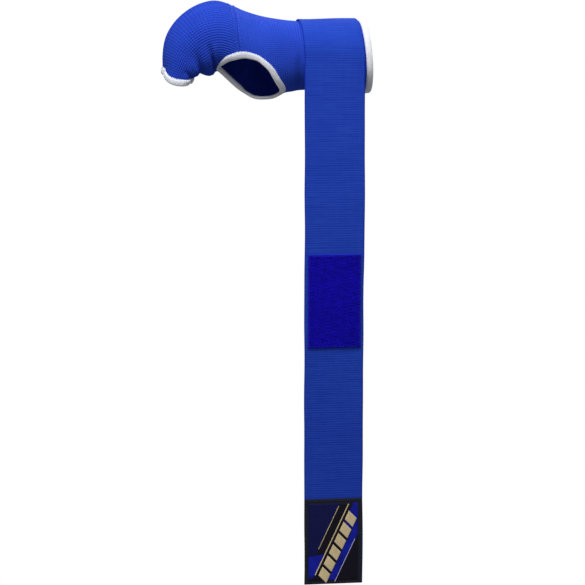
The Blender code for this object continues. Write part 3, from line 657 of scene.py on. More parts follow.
def strap_material():
    """Elastic tape: ribs across it are in the mesh; fine warp threads run along it, closer at the selvedges."""
    n = Nodes("elastic_tape")
    uv, x, t = n.uv()                                         # x across in mm from the middle, t along in mm
    pos, _, _, _ = n.place()
    rib = n.wave(t, 2.0, -math.pi / 2)
    groove = n.math("POWER", n.math("SUBTRACT", 1.0, rib), 2.0)
    warp = n.wave(x, 0.9)
    pick = n.wave(t, 0.5)
    away = n.math("ABSOLUTE", x)
    edge = n.remap(away, 23.7, 24.7, 0.0, 1.0)
    fibre = n.noise(pos, 2400.0, 2.0, 0.6)
    streak = n.noise(n.stretch(uv, 0.35, 0.022, 1.0), 1.0, 4.0, 0.65)
    patch = n.noise(pos, 30.0, 3.0, 0.55)
    uneven = n.noise(n.stretch(uv, 0.06, 0.45, 1.0), 1.0, 2.0, 0.6)
    rows = n.noise(n.stretch(uv, 0.025, 0.5, 1.0), 1.0, 1.0, 0.5)
    # painted shade: the colour darkens in the grooves between the ribs of the mesh, more in some places than others
    depth = n.math("MULTIPLY", groove, n.remap(uneven, 0.35, 0.65, 0.4, 1.6))
    tone = n.math("MULTIPLY_ADD", depth, -0.26, 1.09)
    tone = n.math("MULTIPLY", tone, n.remap(rows, 0.35, 0.65, 0.94, 1.06))
    tone = n.math("MULTIPLY", tone, n.math("MULTIPLY_ADD", warp, 0.04, 0.98))
    tone = n.math("MULTIPLY", tone, n.remap(fibre, 0.3, 0.7, 0.86, 1.12))
    tone = n.math("MULTIPLY", tone, n.remap(streak, 0.3, 0.7, 0.95, 1.05))
    tone = n.math("MULTIPLY", tone, n.remap(patch, 0.3, 0.7, 0.95, 1.05))
    tone = n.math("MULTIPLY", tone, n.math("MULTIPLY_ADD", edge, -0.50, 1.0))
    colour = n.mix(tone, GROOVE_SHADE_STRAP, scaled(STRAP_BLUE, 1.0))
    colour.node.clamp_factor = False
    height = n.math("MULTIPLY_ADD", warp, 0.5, n.math("MULTIPLY", pick, 0.3))
    height = n.math("MULTIPLY_ADD", fibre, 0.4, height)
    rough = n.remap(fibre, 0.3, 0.7, 0.82, 0.94)
    return n.finish(colour, rough, n.bump(height, 0.00022, 0.8), 0.02, 0.45, BLUE_TINT, 0.06)


def loop_material():
    n = Nodes("loop_pile")
    pos, x, y, z = n.place()
    tuft = n.noise(pos, 900.0, 3.0, 0.6)
    blotch = n.noise(pos, 60.0, 3.0, 0.6)
    speck = n.noise(pos, 2300.0, 2.0, 0.6)
    tone = n.remap(tuft, 0.32, 0.68, 0.80, 1.17)
    tone = n.math("MULTIPLY", tone, n.remap(blotch, 0.3, 0.7, 0.88, 1.12))
    tone = n.math("MULTIPLY", tone, n.remap(speck, 0.3, 0.7, 0.86, 1.14))
    colour = n.mix(tone, scaled(LOOP_NAVY, 0.0), scaled(LOOP_NAVY, 1.0))
    colour.node.clamp_factor = False
    height = n.math("MULTIPLY_ADD", speck, 0.5, tuft)
    return n.finish(colour, n.remap(blotch, 0.3, 0.7, 0.90, 0.98), n.bump(height, 0.0003, 0.6), 0.10, 0.6,
                    (0.25, 0.25, 1.0, 1.0), 0.04)


def thread_material(name, colour, vary=0.12, scale=1400.0, spec=0.25, rough=(0.6, 0.8), sheen=0.1, distance=0.0002):
    """Spun thread or woven binding in one colour, with fibres, small soiling and varied tone."""
    n = Nodes(name)
    pos, _, _, _ = n.place()
    fibre = n.noise(pos, scale, 3.0, 0.65)
    patch = n.noise(pos, 70.0, 3.0, 0.6)
    tone = n.math("MULTIPLY", n.remap(fibre, 0.3, 0.7, 1 - vary, 1 + vary * 0.6), n.remap(patch, 0.3, 0.7, 1 - vary * 0.5, 1.03))
    base = n.mix(tone, scaled(colour, 0.0), scaled(colour, 1.0))
    base.node.clamp_factor = False
    return n.finish(base, n.remap(patch, 0.3, 0.7, *rough), n.bump(fibre, distance, 0.7), sheen, 0.5, (1, 1, 1, 1), spec)


def edging_material():
    """White overlocked edging: close slanting threads round a soft elastic core."""
    n = Nodes("white_binding")
    uv, c, t = n.uv()                                         # c round the section 0..1, t along in mm
    pos, _, _, _ = n.place()
    slant = n.math("MULTIPLY_ADD", c, 3.0, t)
    thread = n.wave(slant, 0.62)
    tooth = n.wave(t, 1.7)
    fibre = n.noise(pos, 2200.0, 3.0, 0.6)
    patch = n.noise(pos, 110.0, 3.0, 0.6)
    tone = n.math("MULTIPLY_ADD", thread, 0.10, 0.90)
    tone = n.math("MULTIPLY", tone, n.math("MULTIPLY_ADD", tooth, 0.05, 0.96))
    tone = n.math("MULTIPLY", tone, n.remap(fibre, 0.3, 0.7, 0.93, 1.05))
    tone = n.math("MULTIPLY", tone, n.remap(patch, 0.3, 0.7, 0.95, 1.03))
    colour = n.mix(tone, scaled(TRIM_WHITE, 0.0), scaled(TRIM_WHITE, 1.0))
    colour.node.clamp_factor = False
    height = n.math("MULTIPLY_ADD", fibre, 0.3, thread)
    return n.finish(colour, n.remap(patch, 0.3, 0.7, 0.75, 0.9), n.bump(height, 0.00022, 0.9), 0.15, 0.5, (1, 1, 1, 1), 0.2)


def woven_material(name, colour, other, pitch=0.9, vary=0.14, spec=0.2, mesh_holes=0.0):
    """Flat woven label cloth in x and z, two tones; mesh_holes darkens a net of small openings."""
    n = Nodes(name)
    pos, x, y, z = n.place()
    a, b = n.math("ADD", x, z), n.math("SUBTRACT", x, z)
    k = pitch * 0.001
    net = n.math("MULTIPLY", n.wave(a, k), n.wave(b, k))
    warp = n.math("MULTIPLY", n.wave(x, k * 0.62), n.wave(z, k * 0.62))
    fibre = n.noise(pos, 2300.0, 2.0, 0.6)
    patch = n.noise(pos, 80.0, 3.0, 0.6)
    tone = n.math("MULTIPLY", n.remap(fibre, 0.3, 0.7, 1 - vary, 1 + vary), n.remap(patch, 0.3, 0.7, 0.93, 1.06))
    mixed = n.mix(n.remap(net, 0.30, 0.62, 0.0, 1.0) if mesh_holes else warp, scaled(colour, 1.0), scaled(other, 1.0))
    base = n.mix(1.0, mixed, (1, 1, 1, 1), "MULTIPLY")
    grey = n.add("ShaderNodeCombineXYZ")
    for k2 in range(3):
        n.tree.links.new(tone, grey.inputs[k2])
    n.tree.links.new(grey.outputs[0], base.node.inputs[7])
    height = n.math("MULTIPLY_ADD", fibre, 0.35, net if mesh_holes else warp)
    return n.finish(base, n.remap(patch, 0.3, 0.7, 0.7, 0.88), n.bump(height, 0.0002, 0.8), 0.02, 0.5, (1, 1, 1, 1), spec)


def net_material():
    """The label's field: dark blue net, a black slanting band, a bright blue band beside it and a black corner."""
    n = Nodes("blue_net_label")
    pos, x, y, z = n.place()
    a, b = np.array([-44.0, STRAP_END_Z + 7.5]) * 0.001, np.array([-17.0, LABEL_Z - 10.3]) * 0.001
    way = (b - a) / np.linalg.norm(b - a)
    off = n.math("MULTIPLY_ADD", x, 1000.0 * way[1], -1000.0 * (way[1] * a[0] - way[0] * a[1]))
    off = n.math("ADD", off, n.math("MULTIPLY", z, -1000.0 * way[0]))      # mm to the right of the slanting line
    up = n.math("MULTIPLY_ADD", z, 1000.0, -1000.0 * a[1])                   # mm above its foot
    k = 0.0017
    net = n.math("MULTIPLY", n.wave(n.math("ADD", x, z), k), n.wave(n.math("SUBTRACT", x, z), k))
    fibre = n.noise(pos, 2300.0, 2.0, 0.6)
    patch = n.noise(pos, 90.0, 3.0, 0.6)
    dark = n.mix(n.remap(net, 0.25, 0.6, 0.0, 1.0), (0.004, 0.005, 0.030, 1), (0.009, 0.015, 0.210, 1))
    bright = n.mix(n.remap(patch, 0.35, 0.65, 0.0, 1.0), (0.005, 0.008, 0.230, 1), (0.008, 0.016, 0.420, 1))
    black = n.mix(n.remap(fibre, 0.35, 0.65, 0.0, 1.0), (0.004, 0.0035, 0.007, 1), (0.010, 0.008, 0.020, 1))
    low_left = n.remap(n.math("SUBTRACT", up, n.math("MULTIPLY", off, 0.2)), 19.4, 20.0, 1.0, 0.0)
    low_left = n.math("MULTIPLY", low_left, n.remap(off, -2.6, -2.2, 1.0, 0.0))
    low_left = n.math("MULTIPLY", low_left, n.remap(up, -3.0, 2.0, 0.0, 1.0))
    field = n.mix(n.remap(off, -9.3, -8.9, 0.0, 1.0), dark, black)
    field = n.mix(low_left, field, bright)
    field = n.mix(n.math("MULTIPLY", n.remap(up, 41.0, 42.5, 0.0, 1.0), n.remap(off, 0.8, 1.3, 0.0, 1.0)), field, bright)
    field = n.mix(n.remap(off, 9.6, 10.4, 0.0, 1.0), field, bright)
    corner = n.math("MULTIPLY", n.remap(off, 15.6, 16.2, 0.0, 1.0), n.remap(up, 36.0, 37.5, 1.0, 0.0))
    field = n.mix(corner, field, black)
    grey = n.add("ShaderNodeCombineXYZ")
    tone = n.remap(fibre, 0.3, 0.7, 0.80, 1.18)
    for q in range(3):
        n.tree.links.new(tone, grey.inputs[q])
    base = n.mix(1.0, field, grey.outputs[0], "MULTIPLY")
    height = n.math("MULTIPLY_ADD", fibre, 0.35, net)
    return n.finish(base, n.remap(patch, 0.3, 0.7, 0.7, 0.88), n.bump(height, 0.0002, 0.8), 0.02, 0.5, (1, 1, 1, 1), 0.12)


def foam_material():
    n = Nodes("foam")
    pos, _, _, _ = n.place()
    cells = n.add("ShaderNodeTexVoronoi")
    cells.inputs["Scale"].default_value = 900.0
    n.tree.links.new(pos, cells.inputs["Vector"])
    patch = n.noise(pos, 60.0, 3.0, 0.6)
    tone = n.math("MULTIPLY", n.remap(cells.outputs["Distance"], 0.0, 0.7, 0.75, 1.08), n.remap(patch, 0.3, 0.7, 0.94, 1.05))
    base = n.mix(tone, (0, 0, 0, 1), (0.36, 0.37, 0.39, 1))
    base.node.clamp_factor = False
    return n.finish(base, n.remap(patch, 0.3, 0.7, 0.85, 0.95), n.bump(cells.outputs["Distance"], 0.0003, 0.7), 0.0, 0.5,
                    (1, 1, 1, 1), 0.2)


KNIT_RIB, KNIT_PLAIN, TAPE, PILE = cover_material(), sleeve_material(), strap_material(), loop_material()
BINDING, FOAM = edging_material(), foam_material()
BLUE_THREAD = thread_material("blue_sewing_thread", (0.022, 0.066, 0.44))
NAVY_THREAD = thread_material("navy_sewing_thread", (0.012, 0.016, 0.42), 0.16, 1400.0, 0.1)
SEAM_THREAD = thread_material("seam_thread", (0.030, 0.085, 0.56))
NAVY_WEAVE = woven_material("navy_tape_margin", (0.010, 0.020, 0.36), (0.020, 0.050, 0.56), 0.8, 0.14, 0.06)
BLACK_WEAVE = woven_material("black_woven_label", (0.0045, 0.006, 0.014), (0.0095, 0.014, 0.034), 0.8, 0.2, 0.3)
BLUE_NET = net_material()
BLACK_THREAD = thread_material("black_sewing_thread", (0.010, 0.014, 0.035), 0.2, 1400.0, 0.3)
GOLD = thread_material("gold_embroidery", (0.80, 0.64, 0.36), 0.34, 1300.0, 0.35, (0.42, 0.62), 0.1, 0.0004)
PALE = thread_material("pale_embroidery", (0.55, 0.58, 0.78), 0.2, 1500.0, 0.35, (0.5, 0.7), 0.1)
HOOKS = thread_material("hook_plastic", (0.010, 0.011, 0.014), 0.2, 1200.0, 0.5, (0.35, 0.5), 0.0)
HOOK_WEAVE = woven_material("hook_tape_base", (0.006, 0.007, 0.010), (0.012, 0.013, 0.018), 0.9, 0.2, 0.3)


# ------------------------------------------------------------------ more mesh helpers
def grid_solid(name, top, low, mat, uv):
    """A closed slab between two grids of points (rows, columns, 3); uv is (rows, columns, 2)."""
    r, c = top.shape[:2]
    n = r * c
    idx = np.arange(n).reshape(r, c)
    quads = np.stack([idx[:-1, :-1], idx[:-1, 1:], idx[1:, 1:], idx[1:, :-1]], -1).reshape(-1, 4)
    rim = np.concatenate([idx[0, :-1], idx[:-1, -1], idx[-1, :0:-1], idx[:0:-1, 0]])
    nxt = np.roll(rim, -1)
    faces = np.vstack([quads, quads[:, ::-1] + n, np.stack([nxt, rim, rim + n, nxt + n], 1)])
    obj = make(name, np.vstack([top.reshape(-1, 3), low.reshape(-1, 3)]), faces, uv.reshape(-1, 2)[faces % n].reshape(-1, 2),
               True, [mat])
    fix_outward(obj)
    return obj


def merged(name, parts, mat):
    """One mesh from (points, faces) parts."""
    points, faces, base = [], [], 0
    for p, f in parts:
        points.append(p)
        faces += [[v + base for v in q] for q in f]
        base += len(p)
    obj = make(name, np.vstack(points), faces, None, True, [mat])
    fix_outward(obj)
    return obj


def wobble(t, seed, scale, amount):
    """Smooth random wander of a value along t (mm), from a few sines of fixed phases."""
    r = np.random.default_rng(seed)
    out = np.zeros_like(np.asarray(t, float))
    for k in range(4):
        out += np.sin(np.asarray(t) * 2 * np.pi / (scale * (0.6 + 0.5 * k)) + r.uniform(0, 6.28)) * r.uniform(0.5, 1.0)
    return out * amount / 2


def piece(obj, body=None, stands_for=()):
    if body:
        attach(obj, body)
    if stands_for:
        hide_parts(*stands_for)
    return obj


# ------------------------------------------------------------------ the glove: two layers of knit and the padding
def sleeve_top(u, s):
    """The inner layer's outer face: it goes under the outer layer at the seam, and under the padding past it."""
    step = smooth(SEAM_S - 1.2, SEAM_S + 0.5, unshift(u, s))
    depth = pad_depth(u, s)
    wave = 0.10 * np.sin(2 * np.pi * 138 * u) * (1 - step)
    return wave - (KNIT_T + GAP + depth + np.where(depth > 0, GAP, 0)) * step


def cover_top(u, s):
    s = unshift(u, s)
    rib = np.abs(np.sin(np.pi * RIBS * u)) ** 0.75 - 1.0
    palm = smooth(0.47, 0.56, u)                          # 0 on the back of the hand, 1 past the thumb side
    grown = smooth(SEAM_S + 3.4, SEAM_S + 5.4, s)
    high = (0.16 + 0.84 * grown) * (0.42 + 0.08 * palm)
    hem = -0.50 * (1 - smooth(SEAM_S - 0.5, SEAM_S + 1.0, s))
    tuck = -0.30 * np.exp(-(((s - SEAM_S - 3.6) / 0.55) ** 2)) - 0.12 * np.exp(-(((s - SEAM_S - 1.5) / 0.5) ** 2))
    return rib * high + hem + tuck


def fabric(u, s):
    return np.minimum(thumb_distance(u, s) + 2.2, finger_edge(u) + 2.2 - s)


fine = np.concatenate([np.arange(3.0, 118.2, 1.45), np.arange(119.5, 190, 3.2)])
sleeve = knit_layer("sleeve_knit", 414, fine, fabric, sleeve_top, lambda u, s: np.full_like(u, KNIT_T), KNIT_PLAIN)
piece(sleeve, "glove", ["hand_sleeve"])
fix_outward(sleeve)
rows = np.concatenate([[SEAM_S - 0.4, SEAM_S, SEAM_S + 0.4, SEAM_S + 0.9, SEAM_S + 1.5, SEAM_S + 2.2, SEAM_S + 2.9, SEAM_S + 3.3,
                        SEAM_S + 3.7, SEAM_S + 4.1, SEAM_S + 4.7], np.arange(SEAM_S + 5.4, 190.5, 1.35)])
cover = knit_layer("knuckle_knit", RIBS * 6, rows, fabric, cover_top, lambda u, s: np.full_like(u, 1.1), KNIT_RIB)
piece(cover, "glove", ["knuckle_cover"])
fix_outward(cover)

pu, ps = np.meshgrid(np.linspace(PAD_U[0], PAD_U[1], 66), np.linspace(PAD_S[0], PAD_S[1], 40))
inner_gap = 0.9 * smooth(0, 8, pad_margin(pu, ps))
pad = grid_solid("knuckle_foam", skin(pu, ps, -KNIT_T - GAP - 0.1 - 0.3 * (1 - inner_gap)),
                 skin(pu, ps, -KNIT_T - GAP - pad_depth(pu, ps) + 0.15), FOAM, np.stack([pu * 100, ps], -1))
piece(pad, "glove", ["knuckle_pad"])


# ------------------------------------------------------------------ white edgings
def binding(name, path, way, half, low, high, teeth, body, node, closed=True, step=0.30, notch=0.42):
    """A rounded band along the (u, s) path. way is the unit direction off the knit in mm; half = (from, to) across it."""
    k = girth(path[:, 1])
    seg = (np.roll(path, -1, axis=0) - path)
    seg[:, 0] = (seg[:, 0] + 0.5) % 1.0 - 0.5
    run = np.concatenate([[0], np.cumsum(np.hypot(seg[:, 0] * k, seg[:, 1]))])
    total = run[-1]
    count = int(total / step)
    pitches = round(total / 1.7)
    t = np.arange(count) * total / count
    loop = np.vstack([path, path[:1] + ([np.round(path[-1, 0] - path[0, 0]), 0] if closed else [0, 0])])
    unwrapped = np.concatenate([[path[0, 0]], path[0, 0] + np.cumsum(seg[:, 0])])
    u, s = np.interp(t, run, unwrapped), np.interp(t, run, loop[:, 1])
    wu, ws = np.interp(t, run, np.append(way[:, 0], way[0, 0])), np.interp(t, run, np.append(way[:, 1], way[0, 1]))
    size = np.hypot(wu, ws)
    wu, ws = wu / size, ws / size
    low_t = np.interp(t, run, np.append(low, low[0])) if np.ndim(low) else np.full(count, low)
    sides = 20
    a = np.arange(sides) * 2 * np.pi / sides
    ca, sa = np.cos(a), np.sin(a)
    x = np.sign(ca) * np.abs(ca) ** (2 / 2.7)
    y = np.sign(sa) * np.abs(sa) ** (2 / 2.4)
    phase = 2 * np.pi * pitches * t / total
    tooth = (0.5 + 0.5 * np.sin(phase)) ** 0.8
    rings = np.zeros((count, sides, 3))
    mid, wide = (half[0] + half[1]) / 2, (half[1] - half[0]) / 2
    threads = 2 * np.pi * round(total / 0.85) * t / total
    soft = wobble(t, 11 + len(name), 37.0, 0.09)
    for k2 in range(sides):
        across = mid + wide * x[k2]
        if x[k2] < 0 and y[k2] > -0.4:                                  # fabric side: scalloped
            across = across - teeth * notch * (2 * tooth - 1) * min(1.0, -x[k2] * 1.3)
        centre = (low_t + high) / 2
        tall = (high - low_t) / 2
        h = centre + tall * y[k2]
        if y[k2] > 0:
            ridge = 0.075 * np.sin(threads + 2.2 * x[k2]) + 0.10 * (tooth - 0.5) * (1 if x[k2] < 0 else 0.3)
            dent = -0.20 * math.exp(-(((x[k2] - 0.42) / 0.20) ** 2))     # the stitch line inside the binding
            h = h + (ridge + dent) * min(1.0, y[k2] * 1.6) + soft * 0.5
        d = across + soft
        kk = girth(s + ws * d)
        rings[:, k2] = skin(u + wu * d / kk, s + ws * d, h)
    obj = tube_mesh(name, rings, True, BINDING, (t, a / (2 * np.pi)))
    piece(obj, body, [node])
    return obj


tp = THUMB
kk = girth(tp[:, 1])
grad = (np.roll(tp, -1, axis=0) - np.roll(tp, 1, axis=0)) * np.stack([kk, np.ones_like(kk)], axis=1)
grad /= np.linalg.norm(grad, axis=1, keepdims=True)
into = np.stack([grad[:, 1], -grad[:, 0]], axis=1)
if ((tp.mean(axis=0) - tp)[:, 1] * into[:, 1]).sum() < 0:
    into = -into
low = -1.9 - (KNIT_T + GAP) * smooth(SEAM_S - 8, SEAM_S - 1, tp[:, 1])
thumb_trim = binding("thumb_binding", tp, into, (-0.2, 5.2), low, 0.9, 1.0, "glove", "thumb_edging")
wu = np.linspace(0, 1, 400, endpoint=False)
wrist_trim = binding("wrist_binding", np.stack([wu, np.full_like(wu, 5.4)], 1), np.tile([[0.0, -1.0]], (400, 1)),
                     (-0.1, 5.4), -1.9, 0.8, 0.5, "glove", "wrist_edging")
finger_trim = binding("finger_binding", np.stack([wu, finger_edge(wu)], 1), np.tile([[0.0, 1.0]], (400, 1)),
                      (-0.1, 5.6), -2.9, 0.9, 1.0, "glove", "finger_edging")


# ------------------------------------------------------------------ seam stitches and the webs between the fingers
def surface_row(u, s, off):
    return skin(u, s, off), look_up(TABLE_N, u, s)


arc = np.linspace(0.497, -0.258, 900)
arc = arc[thumb_distance(arc, np.full_like(arc, SEAM_S)) > 1.0]
both = []
for s, off, size in ((SEAM_S - 1.3, 0.12, 2.0), (SEAM_S + 3.6, -0.02, 2.0)):
    p, nrm = surface_row(arc, s + seam_shift(arc, np.full_like(arc, s)), np.full_like(arc, off))
    both.append(stitches(f"row_{len(both)}", p, nrm, SEAM_THREAD, size, 0.7, 0.24, 0.30))
with bpy.context.temp_override(active_object=both[0], selected_editable_objects=both):
    bpy.ops.object.join()
seam = both[0]
seam.name = "pocket_seam_stitches"
piece(seam, "glove", ["pocket_seam"])

for number, y in enumerate(FINGER_GAPS, start=1):
    top, bottom = [], []
    ring_u = np.linspace(0, 1, 961)
    for s in np.linspace(174.0, 180.5, 9):
        p = skin(ring_u, np.full_like(ring_u, s), np.zeros_like(ring_u))
        back = ring_u[:480][np.argmin(np.abs(p[:480, 1] - y) + (np.abs(ring_u[:480] - 0.25) > 0.2) * 99)]
        palm = ring_u[481:][np.argmin(np.abs(p[481:, 1] - y) + (np.abs(ring_u[481:] - 0.75) > 0.2) * 99)]
        hi, lo = skin(np.array(back), np.array(s), np.array(-3.6)), skin(np.array(palm), np.array(s), np.array(-3.6))
        f = np.linspace(0, 1, 25)[:, None]
        line = hi * (1 - f) + lo * f
        e = (s - 174.0) / 6.5
        line[:, 0] += 1.6 * e * np.sin(np.pi * f[:, 0])                    # the free edge hangs back in a curve
        thick = 0.72 * math.sqrt(max(0.05, 1 - max(0.0, (e - 0.72) / 0.28) ** 2)) * (1 + 0.5 * (2 * f[:, 0] - 1) ** 6)
        puff = np.stack([np.zeros(25), thick, np.zeros(25)], 1)
        top.append(line + puff)
        bottom.append(line - puff)
    grid_uv = np.stack(np.meshgrid(np.linspace(0, 9, 25), np.linspace(0, 6.5, 9)), -1)
    web = grid_solid(f"finger_web_knit_{number}", np.array(top), np.array(bottom), KNIT_PLAIN, grid_uv)
    piece(web, "glove", [f"finger_web_{number}"])


# ------------------------------------------------------------------ the strap: one elastic tape, cut at grooves of its weave
ACROSS = np.array([-1, -0.985, -0.955, -0.9, -0.8, -0.6, -0.4, -0.2, 0, 0.2, 0.4, 0.6, 0.8, 0.9, 0.955, 0.985, 1.0])
side_s = 1.1 - (STRAP_X + STRAP_W / 2) + (0.5 - ACROSS / 2) * STRAP_W          # ACROSS +1 is the wrist side
turn = np.linspace(STRAP_START_U, 0.497, 70)
knots = [skin(np.full_like(side_s, u), side_s + 0.8 * math.sin(u * 7), np.full_like(side_s, 0.35 + STRAP_T / 2)) for u in turn]
edge_x = STRAP_X + ACROSS * STRAP_W / 2
zs = np.concatenate([[-5.0, -9.5, -15.0], np.arange(-25.0, -440.0, -12.0), [STRAP_END_Z]])
for z in zs:
    knots.append(np.stack([edge_x, np.full_like(edge_x, STRAP_Y), np.full_like(edge_x, z)], 1))
knots = np.array(knots)
centre = knots[:, len(ACROSS) // 2]
q = np.concatenate([[0], np.cumsum(np.linalg.norm(np.diff(centre, axis=0), axis=1))])
steps = np.arange(0, q[-1] + 0.01, 0.25)
steps[-1] = q[-1]
surface = np.stack([np.stack([spline(q, knots[:, a, k])(steps) for k in range(3)], -1) for a in range(len(ACROSS))], 1)
STRAP_LONG = float(steps[-1])
hang = smooth(0, 90, -surface[:, len(ACROSS) // 2, 2]) * (steps > q[70])
surface[:, :, 0] += (wobble(steps, 3, 150.0, 0.35) * hang)[:, None]
surface[:, :, 0] += ACROSS[None] * (wobble(steps, 4, 95.0, 0.22) * hang)[:, None]
along = np.gradient(surface, axis=0)
over = np.gradient(surface, axis=1)
normal = np.cross(over, along)
normal /= np.linalg.norm(normal, axis=2, keepdims=True)
flip = np.sign((normal[:, 8] * (surface[:, 8] - np.array([STRAP_X, 0.0, 0.0]) * [1, 0, 0] - [0, 0, 0]))[200].sum())
normal *= flip if flip != 0 else 1.0
on_panel = (surface[:, 8, 2] < PANEL_TOP_Z) & (surface[:, 8, 2] > PANEL_LOW_Z)
rib = np.sin(2 * np.pi * steps / 2.0 - np.pi / 2) * (0.75 + 0.25 * wobble(steps, 8, 23.0, 1.0))
profile = np.sqrt(np.clip(1 - (np.clip((np.abs(ACROSS) - 0.95) / 0.05, 0, 1)) ** 2, 0.12, 1))
cord = 0.10 * np.exp(-(((np.abs(ACROSS) - 0.955) / 0.03) ** 2))
plump = (0.70 * profile + cord)[None] + 0.060 * rib[:, None] * np.minimum(1, profile)[None]
thickness = plump[:, :, None]
bow = (0.35 * wobble(steps, 9, 60.0, 1.0) * hang)[:, None] * (ACROSS[None] ** 2 - 0.3) * 0.5
strap_mid = surface + normal * bow[:, :, None]
strap_uv = np.stack(np.meshgrid(ACROSS * STRAP_W / 2, steps), -1)
z_mid = surface[:, 8, 2]
near = steps > q[69]


def cut_at(z):
    k = int(np.flatnonzero(near & (z_mid <= z))[0])
    return int(round(k / 8.0)) * 8


cuts = [0, cut_at(-0.5), cut_at(-88.0), cut_at(-201.5), cut_at(-306.0), len(steps) - 1]
names = ["strap_turn_tape", "strap_upper_tape", "strap_panel_tape", "strap_lower_tape", "strap_end_tape"]
nodes = ["strap_wrist_turn", "strap_upper", "strap_middle", "strap_lower", "strap_end"]
joins = [None, ("glove", "strap_upper_length", -9.0, -22.0), ("strap_upper_length", "strap_panel_length", -154.0, -162.0),
         ("strap_panel_length", "strap_lower_length", -241.2, -249.0), ("strap_lower_length", "strap_end_tab", -361.5, -370.5)]
for n, name in enumerate(names):
    rows = slice(cuts[n], cuts[n + 1] + 1)
    m, nn, th = strap_mid[rows], normal[rows], thickness[rows]
    obj = grid_solid(name, m + nn * th, m - nn * th, TAPE, strap_uv[rows])
    piece(obj, "glove" if joins[n] is None else None, [nodes[n]])
    if joins[n]:
        a, b, z0, z1 = joins[n]
        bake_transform(obj)

# stitching that holds the sewn end: a box with a second row inside it
u0, u1 = STRAP_START_U + 0.012, STRAP_START_U + 0.060
s0, s1 = side_s[-1] + 3, side_s[0] - 3
anchor = []
for inset in (0.0, 0.011):
    a0, a1, b0, b1 = u0 + inset, u1 - inset, s0 + inset * 230, s1 - inset * 230
    f = np.linspace(0, 1, 120, endpoint=False)
    loop_u = np.concatenate([np.full(120, a0), a0 + (a1 - a0) * f, np.full(120, a1), a1 + (a0 - a1) * f])
    loop_s = np.concatenate([b0 + (b1 - b0) * f, np.full(120, b1), b1 + (b0 - b1) * f, np.full(120, b0)])
    p, nrm = surface_row(loop_u, loop_s, np.full_like(loop_u, 0.35 + STRAP_T + 0.05))
    anchor.append(stitches(f"anchor_{inset}", p, nrm, BLUE_THREAD, 2.2, 0.7, 0.28, 0.35, closed=True))
with bpy.context.temp_override(active_object=anchor[0], selected_editable_objects=anchor):
    bpy.ops.object.join()
anchor[0].name = "anchor_stitches"
piece(anchor[0], "glove", ["strap_anchor_stitching"])


# ------------------------------------------------------------------ loop panel, end label and hook pad
def flat_slab(name, x0, x1, z0, z1, y_face, y_back, mat, cell=1.0, height=None, rounding=0.3):
    """A thin panel whose face is at y_face, with soft edges and a face relief of height(x, z) in mm towards it."""
    way = 1.0 if y_face > y_back else -1.0
    nx, nz = max(4, int((x1 - x0) / cell)), max(4, int((z1 - z0) / cell))
    x, z = np.meshgrid(np.linspace(x0, x1, nx + 1), np.linspace(z0, z1, nz + 1))
    edge = np.minimum(np.minimum(x - x0, x1 - x), np.minimum(z - z0, z1 - z))
    lift = np.zeros_like(x) if height is None else height(x, z)
    y = y_face + way * (lift - rounding * (1 - np.sqrt(np.clip(1 - (1 - np.clip(edge / max(cell, 0.8), 0, 1)) ** 2, 0, 1))))
    top = np.stack([x, y, z], -1)
    low = np.stack([x, np.full_like(x, y_back), z], -1)
    return grid_solid(name, top, low, mat, np.stack([x, z], -1))


def rectangle(x0, x1, z0, z1, y, way, step=0.6, radius=1.5):
    """Points and normals round a rectangle with small rounded corners."""
    pts = []
    for cx, cz, a in ((x1 - radius, z1 - radius, 0), (x0 + radius, z1 - radius, 90), (x0 + radius, z0 + radius, 180),
                      (x1 - radius, z0 + radius, 270)):
        for t in np.radians(np.linspace(a, a + 90, 7)):
            pts.append((cx + radius * math.cos(t), y, cz + radius * math.sin(t)))
    p = np.array(pts)
    return p, np.tile([[0.0, way, 0.0]], (len(p), 1))


def joined(name, objs):
    with bpy.context.temp_override(active_object=objs[0], selected_editable_objects=objs):
        bpy.ops.object.join()
    objs[0].name = name
    return objs[0]


def lumps(seed, sizes):
    """A sum of smooth random waves over x, z, as a function."""
    r = np.random.default_rng(seed)
    waves = [(r.uniform(0, 2 * np.pi), r.uniform(0, 6.28), 2 * np.pi / (size * r.uniform(0.7, 1.3)), amp)
             for size, amp, count in sizes for _ in range(count)]
    return lambda x, z: sum(amp * np.sin(k * (x * math.cos(d) + z * math.sin(d)) + p) for d, p, k, amp in waves)


